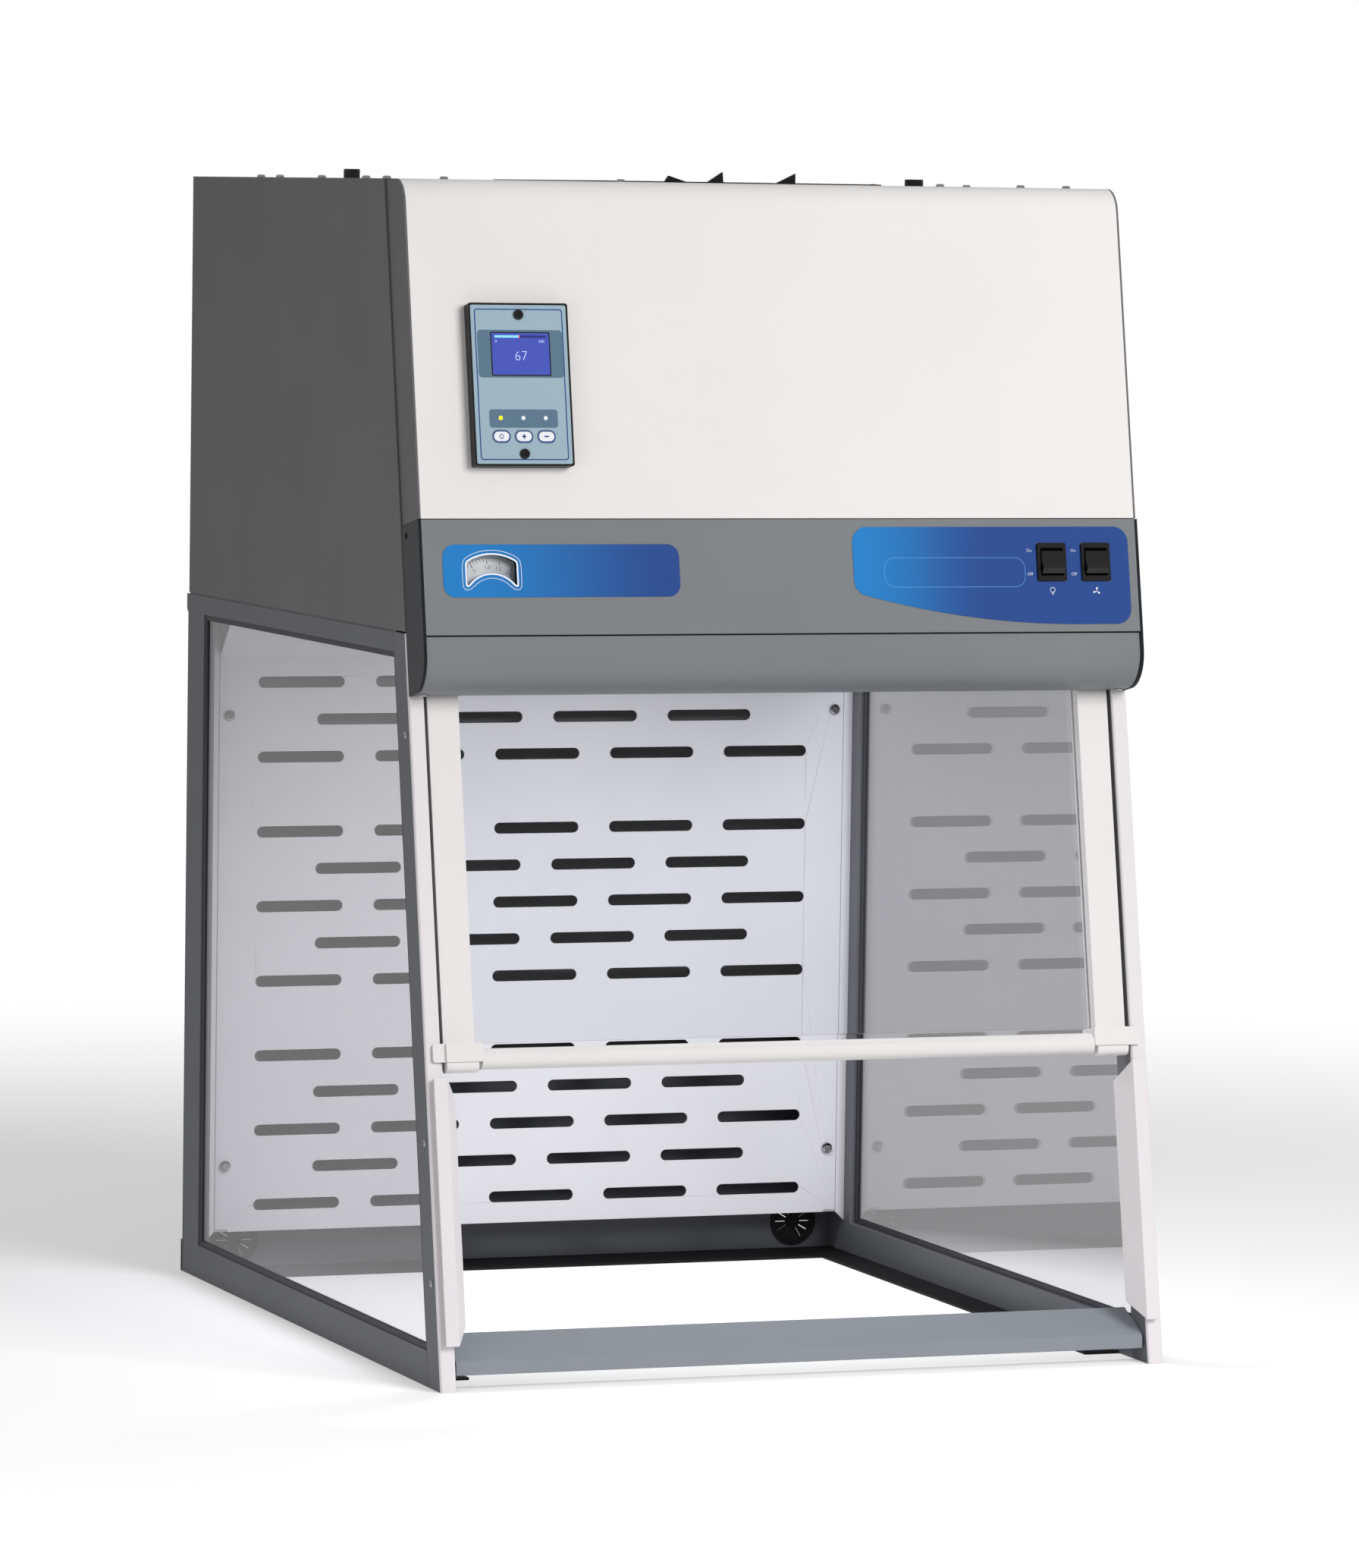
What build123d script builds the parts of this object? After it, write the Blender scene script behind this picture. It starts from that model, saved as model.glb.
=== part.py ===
from build123d import *
import math
import os

os.makedirs("parts", exist_ok=True)

# Balance enclosure: a bench cabinet with a glazed, open-bottomed weighing chamber below
# and a fan and filter housing above. Millimetres. +Z is up and the front faces -Y.
# The origin is at the middle of the footprint, on the bench.
# The front of the cabinet leans back. On that slope, places are given as x, u (up the
# slope from the toe of the front posts) and n (out of the slope, towards the user).

# Overall sizes
width = 610.0
depth = 710.0
frame_height = 582.7
cabinet_high = 354.8
lean_deg = 10.76

# Side frames and their glass
side_thick = 13.0
post_front_depth = 28.0
rear_post_depth = 45.0
bottom_rail_high = 28.3
top_rail_high = 15.7
rear_cover_depth = 6.0
glass_thick = 4.0
glass_from_outside = 2.7
gasket_wide = 7.0
gasket_reveal = 4.5
gasket_base = 1.5

# Front trims, side airfoils and sill
trim_thick = 2.5
trim_round = 2.0
foil_thick = 2.0
foil_standoff = 4.4
foil_bottom_u = 35.5
foil_top_gap = 12.2
foil_setback = 4.0
foil_plate_wide = 11.0
foil_foot_in = 2.0
foil_foot_thick = 4.0
wing_in = 11.0
wing_back = 16.0
sill_thick = 1.6
sill_end_gap = 2.0
sill_front_y = 8.8
sill_bottom_z = 11.8
sill_bend_z = 22.0
sill_rear_y = 46.0
sill_rear_z = 40.0
sill_lip_drop = 10.0
sill_bend_round = 5.0
sill_end_back = 12.0
sill_end_clear = 1.0

# Rear wall, its cord ports and the base seal
panel_thick = 1.5
rear_rail_high = 27.4
top_rail_cut = 3.0
port_inset = 49.2
port_z = 25.3
port_hole_r = 19.0
port_flange_r = 21.0
port_flange_thick = 1.6
port_membrane = 2.4
port_sleeve = 2.0
slit_margin = 1.5
port_hub_r = 5.0
port_slits = 12
slit_wide = 0.8
seal_thick = 2.0
seal_side_wide = 30.0
seal_rear_wide = 58.0
seal_front_y = 60.0

# Rear baffle
baffle_side_gap = 8.7
baffle_stand_off = 31.8
baffle_bottom_z = 36.9
baffle_bend_drop = 52.0
baffle_top_gap = 1.2
baffle_fold_deg = 45.0
slot_long = 77.0
slot_high = 9.6
slot_pitch_x = 105.2
slot_pitch_z = 32.05
slot_first_z = 59.6
slot_edge_gap = 34.0
slot_blank_rows = (6, 12)
slot_fold_gap = 20.0
notch_wide = 11.0
notch_high = 2.1
trim_leg_in = 22.0
trim_strip_gap = 0.6
corner_trim_bottom_z = 29.0
corner_trim_cut = 8.0
baffle_screw_inset = 8.7
baffle_screw_low = 56.9
baffle_screw_drop = 50.5

# Sash
stile_wide = 26.0
stile_thick = 17.0
stile_front_n = -3.0
sash_side_gap = 3.0
stile_wall = 2.0
bracket_bottom_u = 256.5
bracket_high = 14.5
bracket_face_n = 5.0
bracket_over = 4.0
ear_face_n = 2.8
ear_clear = 0.6
ear_reach = 10.5
sash_glass_thick = 5.0
sash_glass_lap = 6.0
sash_glass_lift = 1.0
sash_glass_behind = 3.0
sash_top_rise = 4.87
handle_high = 16.5
handle_thick = 13.3
handle_face_n = 4.3
handle_drop = 6.0
knuckle_drop = 8.0
glide_gap = 0.4
glide_long = 40.0
glide_thick = 8.0
glide_back = 4.0
handle_rear_round = 3.0
knuckle_back = 1.5
knuckle_rounds = (6.0, 4.0)
ear_round = 2.5

# Fascia: front cover, control panel, bumper and their ends
fascia_out = 41.9
fascia_inset = 3.0
cheek_thick = 1.5
cheek_lap = 14.0
cover_thick = 1.5
cover_round = 22.0
cover_return = 18.0
panel_proud = 0.6
control_thick = 2.0
control_high = 91.0
control_return = 20.0
bumper_high = 41.4
bumper_drop = 49.3
bumper_joint = 1.0
bumper_face_n = 40.8
bumper_round = 28.0
bumper_wall = 2.0
bumper_rear_n = 0.5
end_cap_thick = 2.5
end_cap_over = 0.4
fascia_gap = 0.7
opening_lap = 1.5

# Upper cabinet
sheet = 1.5
floor_thick = 1.3
floor_inset = 0.7
pocket_back_n = -25.5
ledge_rise = 67.3
ledge_wide = 30.0
ledge_thick = 2.0
ledge_web_high = 21.0
duct_side_gap = 22.0
duct_front_gap = 72.0
duct_rear_gap = 7.0
lamp_bay_side_gap = 73.0
lamp_bay_front_y = 158.0
lamp_bay_rear_y = 230.0
exhaust_x = 40.0
exhaust_shift_y = -30.0
exhaust_wide = 230.0
exhaust_deep = 220.0
grille_rim = 6.0
grille_lip = 12.0
grille_thick = 1.2
grille_bars = 9
grille_bar_wide = 9.2
exhaust_fins = ((-43.8, 19.3, -40.5, 5.0), (-6.5, 14.0, 6.7, 8.5), (54.3, 16.7, 71.0, 8.1))
fin_thick = 3.0

# Filter, fan, lamp and inlet
filter_side_gap = 13.5
filter_front_y = 230.0
filter_rear_gap = 14.0
filter_high = 117.0
filter_wall = 18.0
filter_recess = 7.0
pleat_count = 36
pleat_thick = 1.2
fan_x = 0.0
fan_plate_thick = 2.0
inlet_r = 75.0
inlet_ring_high = 12.0
inlet_ring_thick = 3.0
fan_plate_front_gap = 4.0
impeller_gap = 3.0
impeller_r = 118.0
impeller_high = 66.0
impeller_disc = 3.0
blade_count = 9
blade_thick = 2.5
blade_inner_r = 72.0
blade_arc_r = 73.2
blade_arc_x = 26.0
hub_r = 20.0
hub_high = 36.3
shaft_r = 6.0
shaft_clear = 0.05
motor_r = 55.0
motor_high = 66.0
motor_gap = 6.0
motor_round = 5.0
shaft_in_motor = 46.0
bore_spare = 6.0
bracket_bar_wide = 60.0
bracket_bar_thick = 3.0
bracket_bar_half = 150.0
tube_r = 8.0
tube_end_gap = 17.0
tube_spacing = 34.0
tube_rise = 19.3
lamp_trough_high = 34.0
lamp_sheet = 1.2
lamp_lap = 4.0
holder_thick = 8.0
holder_margin = 12.0
power_inset = 95.0
power_rise = 37.3
power_wide = 50.0
power_high = 28.0
power_flange = 2.0
power_cavity = (27.0, 19.5)
power_lap = 4.0
power_deep = 14.0
power_wall = 1.2
power_pins = ((-7, -2.0), (0, 2.5), (7, -2.0))
power_pin_wide = 2.0
power_pin_high = 5.0

# Controls
gauge_inset = 56.1
gauge_rise = 24.4
window_out_r = 38.4
window_in_r = 24.6
window_half = 20.3
window_low = 14.4
gauge_case_r = 41.0
gauge_case_deep = 20.0
gauge_case_lift = 6.0
gauge_case_wall = 1.5
dial_depth = 5.0
needle_long = 35.0
needle_start_deg = 141.0
needle_thick = 0.6
needle_pin_r = 1.2
needle_pin_deep = 3.5
needle_hub_r = 3.0
needle_tail = 9.0
needle_root_half = 1.0
needle_tip_half = 0.35
needle_lift = 1.5
label_thick = 0.4
gauge_label_inset = 16.0
gauge_label_wide = 196.2
gauge_label_low = 5.1
gauge_label_high = 41.6
label_round = 10.0
switch_label_inset = 7.0
switch_label_wide = 237.8
switch_label_top_gap = 6.4
switch_label_high = 78.7
switch_label_lift = 26.4
switch_label_flat_run = 45.0
switch_label_round = 12.5
label_cut_gap = 0.2
switch_insets = (74.5, 36.3)
switch_drop = 28.6
bezel_wide = 24.8
bezel_high = 30.7
bezel_proud = 2.2
bezel_round = 1.6
bezel_lap = 1.8
switch_floor = 8.0
well_margin = 0.9
axle_lap = 1.5
rocker_wide = 18.6
rocker_high = 20.6
rocker_clear = 0.5
rocker_pin_r = 1.5
rocker_tilt_deg = 12.0
rocker_edge_n = 3.0
rocker_crest_n = 7.2
rocker_crest_u = 6.8
rocker_middle_n = 5.2
rocker_foot_n = -6.0
rocker_foot_in = 2.6
rocker_crest_round = 1.5
rocker_axis_depth = 1.5
pin_clear = 0.05
switch_deep = 22.0

# Airflow monitor
monitor_inset = 84.9
monitor_rise = 104.5
monitor_wide = 82.2
monitor_high = 129.0
monitor_deep = 9.8
face_wide = 78.9
face_high = 125.6
face_thick = 1.2
button_drop = 41.2
button_pitch = 18.6
button_wide = 15.0
button_high = 10.0
button_proud = 0.6
button_deep = 4.0
button_clear = 0.35
button_travel = 0.5
monitor_screw_offsets = (-54.9, 55.1)
monitor_screw_r = 4.1
monitor_screw_high = 2.0
monitor_round = 2.0
face_round = 1.5

# Screws and thumb nuts
baffle_screw_r = 4.8
baffle_screw_high = 3.2
post_screw_low = (82.1, 189.7)
post_screw_drop = 79.2
post_screw_back = 10.5
post_screw_r = 3.0
post_screw_high = 1.3
bumper_screw_inset = 9.5
bumper_screw_n = 7.5
bumper_screw_r = 3.2
bumper_screw_high = 1.6
roof_screw_r = 3.4
roof_screw_high = 2.2
roof_screw_inset = 8.0
roof_left_screws = (18.0, 71.0, 188.0, 302.0, 355.0)
roof_right_margin = 47.0
roof_right_count = 3
roof_front_margin = 12.0
roof_front_left = (53.5, 202.0)
roof_front_right = (133.5, 63.0)
cap_screw_drop = 9.2
cap_screw_n = 9.7
cap_screw_r = 2.6
cap_screw_high = 1.0
thumb_nut_insets = (23.5, 72.0)
thumb_nut_back = (157.0, 222.0)
thumb_nut_r = (6.6, 7.8)
thumb_nut_high = (7.4, 6.0)

# Places worked out from the sizes
half = width / 2
inner = half - side_thick
toe_y = -depth / 2
rear_y = depth / 2 - rear_cover_depth
lean = math.radians(lean_deg)
sin_l = math.sin(lean)
cos_l = math.cos(lean)
tan_l = math.tan(lean)
cabinet_top_z = frame_height + cabinet_high
cabinet_floor_z = frame_height + floor_thick
cabinet_roof_z = cabinet_top_z - sheet
frame_top_u = frame_height / cos_l
bumper_bottom_u = frame_top_u - bumper_drop
bumper_top_u = bumper_bottom_u + bumper_high
control_bottom_u = bumper_top_u + bumper_joint
control_top_u = control_bottom_u + control_high
cover_bottom_u = control_top_u + fascia_gap
baffle_bend_z = frame_height - baffle_bend_drop
baffle_screw_z = (baffle_bottom_z + baffle_screw_low, baffle_bend_z - baffle_screw_drop)
wall_in = half - sheet
back_in = rear_y - sheet
stile_out = inner - sash_side_gap
stile_in = stile_out - stile_wide
stile_back_n = stile_front_n - stile_thick
bracket_top_u = bracket_bottom_u + bracket_high
foil_top_u = bracket_bottom_u - foil_top_gap
handle_bottom_u = bracket_bottom_u - handle_drop
sash_top_u = frame_top_u + sash_top_rise
monitor_face_n = fascia_out + monitor_deep
baffle_half = inner - baffle_side_gap
baffle_face_y = rear_y - baffle_stand_off
fascia_half = half - fascia_inset
monitor_x = monitor_inset - fascia_half
gauge_x = gauge_inset - fascia_half
gauge_u = control_bottom_u + gauge_rise
window_low_u = gauge_u + window_low
gauge_label_bottom = gauge_u + gauge_label_low
gauge_label_left = gauge_label_inset - fascia_half
switch_label_right = fascia_half - switch_label_inset
switch_label_left = switch_label_right - switch_label_wide
switch_x = [fascia_half - inset for inset in switch_insets]
switch_label_top = control_top_u - switch_label_top_gap
switch_label_low = switch_label_top - switch_label_high
switch_u = switch_label_top - switch_drop
monitor_u = cover_bottom_u + monitor_rise
button_u = monitor_u - button_drop
monitor_screw_u = [monitor_u + offset for offset in monitor_screw_offsets]
cap_screw_u = cover_bottom_u - cap_screw_drop
post_screw_z = (*post_screw_low, frame_height - post_screw_drop)
ledge_z = frame_height + ledge_rise
tube_z = frame_height + tube_rise
power_z = frame_height + power_rise
duct_half = inner - duct_side_gap
lamp_bay_half = half - lamp_bay_side_gap
tube_half = lamp_bay_half - tube_end_gap
tube_middle_y = toe_y + (lamp_bay_front_y + lamp_bay_rear_y) / 2
tube_y = (tube_middle_y - tube_spacing / 2, tube_middle_y + tube_spacing / 2)
filter_half = wall_in - filter_side_gap
filter_front = toe_y + filter_front_y
filter_rear = rear_y - filter_rear_gap
fan_y = (filter_front + filter_rear) / 2
exhaust_y = fan_y + exhaust_shift_y
power_x = half - power_inset
filter_top_z = ledge_z + filter_high
fan_plate_top_z = filter_top_z + fan_plate_thick
impeller_z = fan_plate_top_z + inlet_ring_high + impeller_gap
motor_z = impeller_z + impeller_high + motor_gap
control_face_n = fascia_out + panel_proud
rocker_axis_n = control_face_n - rocker_axis_depth

up_slope = Axis((0, toe_y, 0), (0, sin_l, cos_l))
out_of_slope = Axis((0, toe_y, 0), (0, -cos_l, sin_l))

nodes = {}


def from_toe(y):
    """Depth measured back from the toe of the front posts."""
    return toe_y + y


def slope_y(z, n=0.0):
    """Depth, from the origin, of the point at height z that lies n out of the slope."""
    return toe_y + z * tan_l - n / cos_l


def block(x0, x1, y0, y1, z0, z1):
    """Upright box between two corners."""
    centre = Pos((x0 + x1) / 2, (y0 + y1) / 2, (z0 + z1) / 2)
    return centre * Box(abs(x1 - x0), abs(y1 - y0), abs(z1 - z0))


def slope_plane(n=0.0):
    """Plane of the leaning front, n out of the posts, with its y axis up the slope."""
    plane = Plane(origin=(0, toe_y, 0), x_dir=(1, 0, 0), z_dir=(0, -cos_l, sin_l))
    return plane.offset(n)


def slab(x0, x1, u0, u1, n0, n1):
    """Box that lies along the slope."""
    centre = Pos((x0 + x1) / 2, (u0 + u1) / 2, (n0 + n1) / 2)
    return slope_plane().location * (centre * Box(abs(x1 - x0), abs(u1 - u0), abs(n1 - n0)))


def slope_disc(x, u, n, radius, thick):
    """Round disc on the slope, from n outwards."""
    disc = Cylinder(radius, thick, align=(Align.CENTER, Align.CENTER, Align.MIN))
    return slope_plane().location * (Pos(x, u, n) * disc)


def on_slope(sketch, n, thick):
    """Flat outline in x and u, laid on the slope at n and given its thickness outwards."""
    return extrude(slope_plane(n) * sketch, amount=thick)


def along_x(points, x0, x1):
    """Outline in y and z, carried across from x0 to x1."""
    face = Plane.YZ.offset(min(x0, x1)) * make_face(Polyline(*points, close=True))
    return extrude(face, amount=abs(x1 - x0))


def slope_section(points, x0, x1, rounds=()):
    """Outline in n and u, carried across from x0 to x1. rounds: (point index, radius)."""
    sketch = make_face(Polyline(*points, close=True))
    for index, radius in rounds:
        corner = sketch.vertices().sort_by_distance((*points[index], 0))[0]
        sketch = fillet(corner, radius)
    plane = Plane(origin=(max(x0, x1), toe_y, 0), x_dir=(0, -cos_l, sin_l), z_dir=(-1, 0, 0))
    return extrude(plane * sketch, amount=abs(x1 - x0))


def mirrored(shape):
    """The same piece on the other side of the enclosure."""
    return mirror(shape, about=Plane.YZ)


def pair(name, left_shape):
    """A left piece, and its mirror image as the right one."""
    nodes["left_" + name] = left_shape
    nodes["right_" + name] = mirrored(left_shape)


def window_outline(inset):
    """Corners, in y and z, of the side window drawn in by inset on every edge."""
    front = (post_front_depth + trim_thick + inset) / cos_l
    low = bottom_rail_high + inset
    high = frame_height - top_rail_high - inset
    back = rear_y - rear_post_depth - inset
    return [
        (toe_y + low * tan_l + front, low),
        (back, low),
        (back, high),
        (toe_y + high * tan_l + front, high),
    ]


def side_frame():
    """Four members of one side, welded in a flat frame around the window."""
    outline = [
        (slope_y(0, -trim_thick), 0),
        (rear_y, 0),
        (rear_y, frame_height),
        (slope_y(frame_height, -trim_thick), frame_height),
    ]
    frame = along_x(outline, -half, -inner)
    return frame - along_x(window_outline(0), -half - 1, -inner + 1)


def side_glazing():
    """Pane of one side and the channel gasket that holds its edge."""
    pane_out = half - glass_from_outside
    pane_in = pane_out - glass_thick
    gasket_middle = (pane_out + pane_in) / 2
    gasket_out = gasket_middle + gasket_wide / 2
    gasket_in = gasket_middle - gasket_wide / 2
    glass = along_x(window_outline(gasket_base), -pane_out, -pane_in)
    gasket = along_x(window_outline(0), -gasket_out, -gasket_in)
    gasket -= along_x(window_outline(gasket_reveal), -half, -inner)
    return glass, gasket - glass


def front_trim():
    """Pale strip with rounded edges on the front of a post."""
    strip = slab(-half, -inner, -side_thick, frame_top_u + side_thick, -trim_thick, 0)
    front_edges = [e for e in strip.edges().filter_by(up_slope) if abs(plane_height(e.center())) < 0.01]
    strip = fillet(front_edges, trim_round)
    return strip & block(-width, 0, -depth, depth, 0, frame_height)


def plane_height(point):
    """How far a point lies out of the slope."""
    return -(point.Y - toe_y) * cos_l + point.Z * sin_l


def side_airfoil():
    """Plate on the post below the sash, with a wing that turns in and back."""
    plate_n = foil_standoff + foil_thick
    x_out = -half + foil_setback
    x_foot = x_out + foil_foot_in
    x_fold = x_out + foil_plate_wide
    x_tip = x_fold + wing_in
    turn = math.atan2(wing_back, wing_in)
    skew_x = foil_thick * math.tan(turn / 2)
    cap_x = foil_thick * math.sin(turn)
    cap_n = foil_thick * math.cos(turn)
    section = [
        (x_out, plate_n),
        (x_fold, plate_n),
        (x_tip, plate_n - wing_back),
        (x_tip - cap_x, plate_n - wing_back - cap_n),
        (x_fold - skew_x, plate_n - foil_thick),
        (x_foot + foil_foot_thick, plate_n - foil_thick),
        (x_foot + foil_foot_thick, 0),
        (x_foot, 0),
        (x_foot, plate_n - foil_thick),
        (x_out, plate_n - foil_thick),
    ]
    plane = Plane(
        origin=slope_plane().from_local_coords(Vector(0, foil_bottom_u, 0)),
        x_dir=(1, 0, 0),
        z_dir=slope_plane().y_dir,
    )
    flipped = [(x, -n) for x, n in section]
    foil = extrude(plane * make_face(Polyline(*flipped, close=True)), amount=foil_top_u - foil_bottom_u)
    tip = plate_n - wing_back - foil_thick
    low_cut = [(plate_n, foil_bottom_u), (tip, foil_bottom_u), (tip, foil_bottom_u + plate_n - tip)]
    high_cut = [(plate_n, foil_top_u), (tip, foil_top_u), (tip, foil_top_u - plate_n + tip)]
    foil -= slope_section(low_cut, x_fold, x_tip + 5)
    return foil - slope_section(high_cut, x_fold, x_tip + 5)


def front_sill():
    """Folded sill between the posts, raised off the bench, with an end plate at each post."""
    front = from_toe(sill_front_y)
    rear = from_toe(sill_rear_y)
    run = math.hypot(sill_rear_y - sill_front_y, sill_rear_z - sill_bend_z)
    drop = sill_thick * run / (sill_rear_y - sill_front_y)
    outline = [
        (front, sill_bottom_z),
        (front, sill_bend_z),
        (rear, sill_rear_z),
        (rear, sill_rear_z - sill_lip_drop),
        (rear - sill_thick, sill_rear_z - sill_lip_drop),
        (rear - sill_thick, sill_rear_z - drop - sill_thick / 2),
        (front + sill_thick, sill_bend_z - drop + sill_thick / 2),
        (front + sill_thick, sill_bottom_z),
    ]
    x_end = inner - sill_end_gap
    sill = along_x(outline, -x_end, x_end)
    front_bend = sill.edges().filter_by(Axis.X).sort_by_distance((0, front, sill_bend_z))[0]
    sill = fillet(front_bend, sill_bend_round)
    plate_front = front + 3 * sill_thick
    plate_rear = rear - sill_end_back
    slope = (sill_rear_z - sill_bend_z) / (sill_rear_y - sill_front_y)
    end_plate = [
        (plate_front, sill_bottom_z),
        (plate_front, sill_bend_z + slope * (plate_front - front) - sill_end_clear),
        (plate_rear, sill_bend_z + slope * (plate_rear - front) - sill_end_clear),
        (plate_rear, sill_bottom_z),
    ]
    for side in (-1, 1):
        sill += along_x(end_plate, side * (x_end - sill_thick), side * inner)
    return sill


def back_panel():
    """Sheet across the back, folded to a hollow rail along the bench, with cord ports."""
    rail = block(-half, half, rear_y, depth / 2, 0, rear_rail_high)
    rail -= block(-half - 1, half + 1, rear_y + panel_thick, depth / 2 - panel_thick,
                  panel_thick, rear_rail_high - panel_thick)
    panel = rail + block(-half, half, rear_y, rear_y + panel_thick,
                         rear_rail_high - panel_thick, frame_height - top_rail_high)
    for side in (-1, 1):
        at_port = Plane(origin=(side * (half - port_inset), rear_y, port_z), z_dir=(0, 1, 0))
        panel += at_port * Cylinder(
            port_hole_r + panel_thick, rear_cover_depth, align=(Align.CENTER, Align.CENTER, Align.MIN))
        panel -= at_port * Cylinder(port_hole_r, 4 * rear_cover_depth)
    return panel


def cord_port_grommets():
    """Rubber ports with a slit membrane and a round hub."""
    ports = []
    for side in (-1, 1):
        at_port = Plane(origin=(side * (half - port_inset), rear_y, port_z), z_dir=(0, 1, 0))
        bore = Circle(port_hole_r - port_sleeve)
        sleeve = at_port * extrude(Circle(port_hole_r) - bore, rear_cover_depth)
        at_flange = at_port.offset(-port_flange_thick)
        flange = at_flange * extrude(Circle(port_flange_r) - bore, port_flange_thick)
        slits = PolarLocations((port_hole_r + port_hub_r) / 2, port_slits) * Rectangle(
            port_hole_r - port_hub_r - 2 * slit_margin, slit_wide)
        membrane = at_port * extrude(Circle(port_hole_r - port_sleeve / 2) - slits, port_membrane)
        hub = at_flange * extrude(Circle(port_hub_r), port_flange_thick)
        ports.append(sleeve + flange + membrane + hub)
    return Compound(children=ports)


def base_seal():
    """Flat rubber strip on the bench, round the inside of the side rails and the back."""
    front = from_toe(seal_front_y)
    whole = block(-inner, inner, front, rear_y, 0, seal_thick)
    clear = inner - seal_side_wide
    return whole - block(-clear, clear, front - 1, rear_y - seal_rear_wide, -1, seal_thick + 1)


def rear_baffle():
    """Slotted sheet in front of the rear duct, folded forward under the ceiling."""
    face = baffle_face_y
    fold = math.radians(baffle_fold_deg)
    rise = frame_height - baffle_top_gap - baffle_bend_z
    reach = rise * math.tan(fold)
    back_shift = panel_thick * math.tan(fold / 2)
    outline = [
        (face, baffle_bottom_z),
        (face, baffle_bend_z),
        (face - reach, baffle_bend_z + rise),
        (face - reach + panel_thick / math.cos(fold), baffle_bend_z + rise),
        (face + panel_thick, baffle_bend_z + back_shift),
        (face + panel_thick, baffle_bottom_z),
    ]
    sheet_part = along_x(outline, -baffle_half, baffle_half)
    places = []
    rows = int((baffle_bend_z - slot_fold_gap - slot_first_z) / slot_pitch_z) + 1
    long_row = 2 * int((baffle_half - slot_edge_gap - slot_long / 2) / slot_pitch_x) + 1
    for row in range(rows):
        if row + 1 in slot_blank_rows:
            continue
        count = long_row - row % 2
        z = slot_first_z + row * slot_pitch_z
        places += [((i - (count - 1) / 2) * slot_pitch_x, z) for i in range(count)]
    plane = Plane(origin=(0, face - 5, 0), x_dir=(1, 0, 0), z_dir=(0, -1, 0))
    slots = Sketch() + [Pos(x, z) * SlotOverall(slot_long, slot_high) for x, z in places]
    sheet_part -= extrude(plane * slots, amount=-15)
    for side in (-1, 1):
        sheet_part -= block(side * (baffle_half - notch_wide), side * (baffle_half + 1),
                            face - 5, face + 5, baffle_bottom_z - 5, baffle_bottom_z + notch_high)
    return sheet_part


def corner_trim():
    """Pale angle in the rear corner: a strip level with the baffle and a leg behind it."""
    face = baffle_face_y
    x_in = baffle_half + trim_strip_gap
    leg_in = baffle_half - trim_leg_in
    section = [
        (-x_in, face),
        (-inner, face),
        (-inner, face + 2 * panel_thick),
        (-leg_in, face + 2 * panel_thick),
        (-leg_in, face + panel_thick),
        (-x_in, face + panel_thick),
    ]
    high = frame_height - top_rail_high
    trim = extrude(Plane.XY.offset(corner_trim_bottom_z) * make_face(Polyline(*section, close=True)),
                   amount=high - corner_trim_bottom_z)
    cut = [(-x_in, corner_trim_bottom_z), (-inner, corner_trim_bottom_z),
           (-x_in, corner_trim_bottom_z + corner_trim_cut)]
    plane = Plane(origin=(0, face + 8 * panel_thick, 0), x_dir=(1, 0, 0), z_dir=(0, -1, 0))
    trim -= extrude(plane * make_face(Polyline(*cut, close=True)), amount=16 * panel_thick)
    cut_top = corner_trim_bottom_z + corner_trim_cut
    return trim - block(-x_in, 0, face - 1, face + 4 * panel_thick, 0, cut_top)


def rear_top_rail():
    """Cross rail behind the side frames, with its lower rear edge cut back."""
    low = frame_height - top_rail_high
    outline = [
        (rear_y, low),
        (depth / 2 - top_rail_cut, low),
        (depth / 2, low + top_rail_cut),
        (depth / 2, frame_height),
        (rear_y, frame_height),
    ]
    return along_x(outline, -half, half)


def sash_glass():
    """Front pane, let into grooves in the stiles."""
    back = stile_back_n + sash_glass_behind
    reach = stile_in + sash_glass_lap
    return slab(-reach, reach, bracket_top_u + sash_glass_lift, sash_top_u, back, back + sash_glass_thick)


def sash_stile():
    """Hollow upright of the sash with a groove for the glass and a glide at the top."""
    stile = slab(-stile_out, -stile_in, bracket_top_u, sash_top_u, stile_back_n, stile_front_n)
    back = stile_back_n + sash_glass_behind
    core_back = back + sash_glass_thick + stile_wall
    stile -= slab(-stile_out + stile_wall, -stile_in - stile_wall, bracket_top_u - 1, sash_top_u + 1,
                  core_back, stile_front_n - stile_wall)
    stile -= slab(-stile_in - sash_glass_lap, -stile_in + 1, bracket_top_u - 1, sash_top_u + 1,
                  back, back + sash_glass_thick)
    glide_out = inner - glide_gap
    return stile + slab(-glide_out, -stile_out + 1, sash_top_u - glide_long, sash_top_u,
                        stile_back_n + glide_back, stile_back_n + glide_back + glide_thick)


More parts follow.
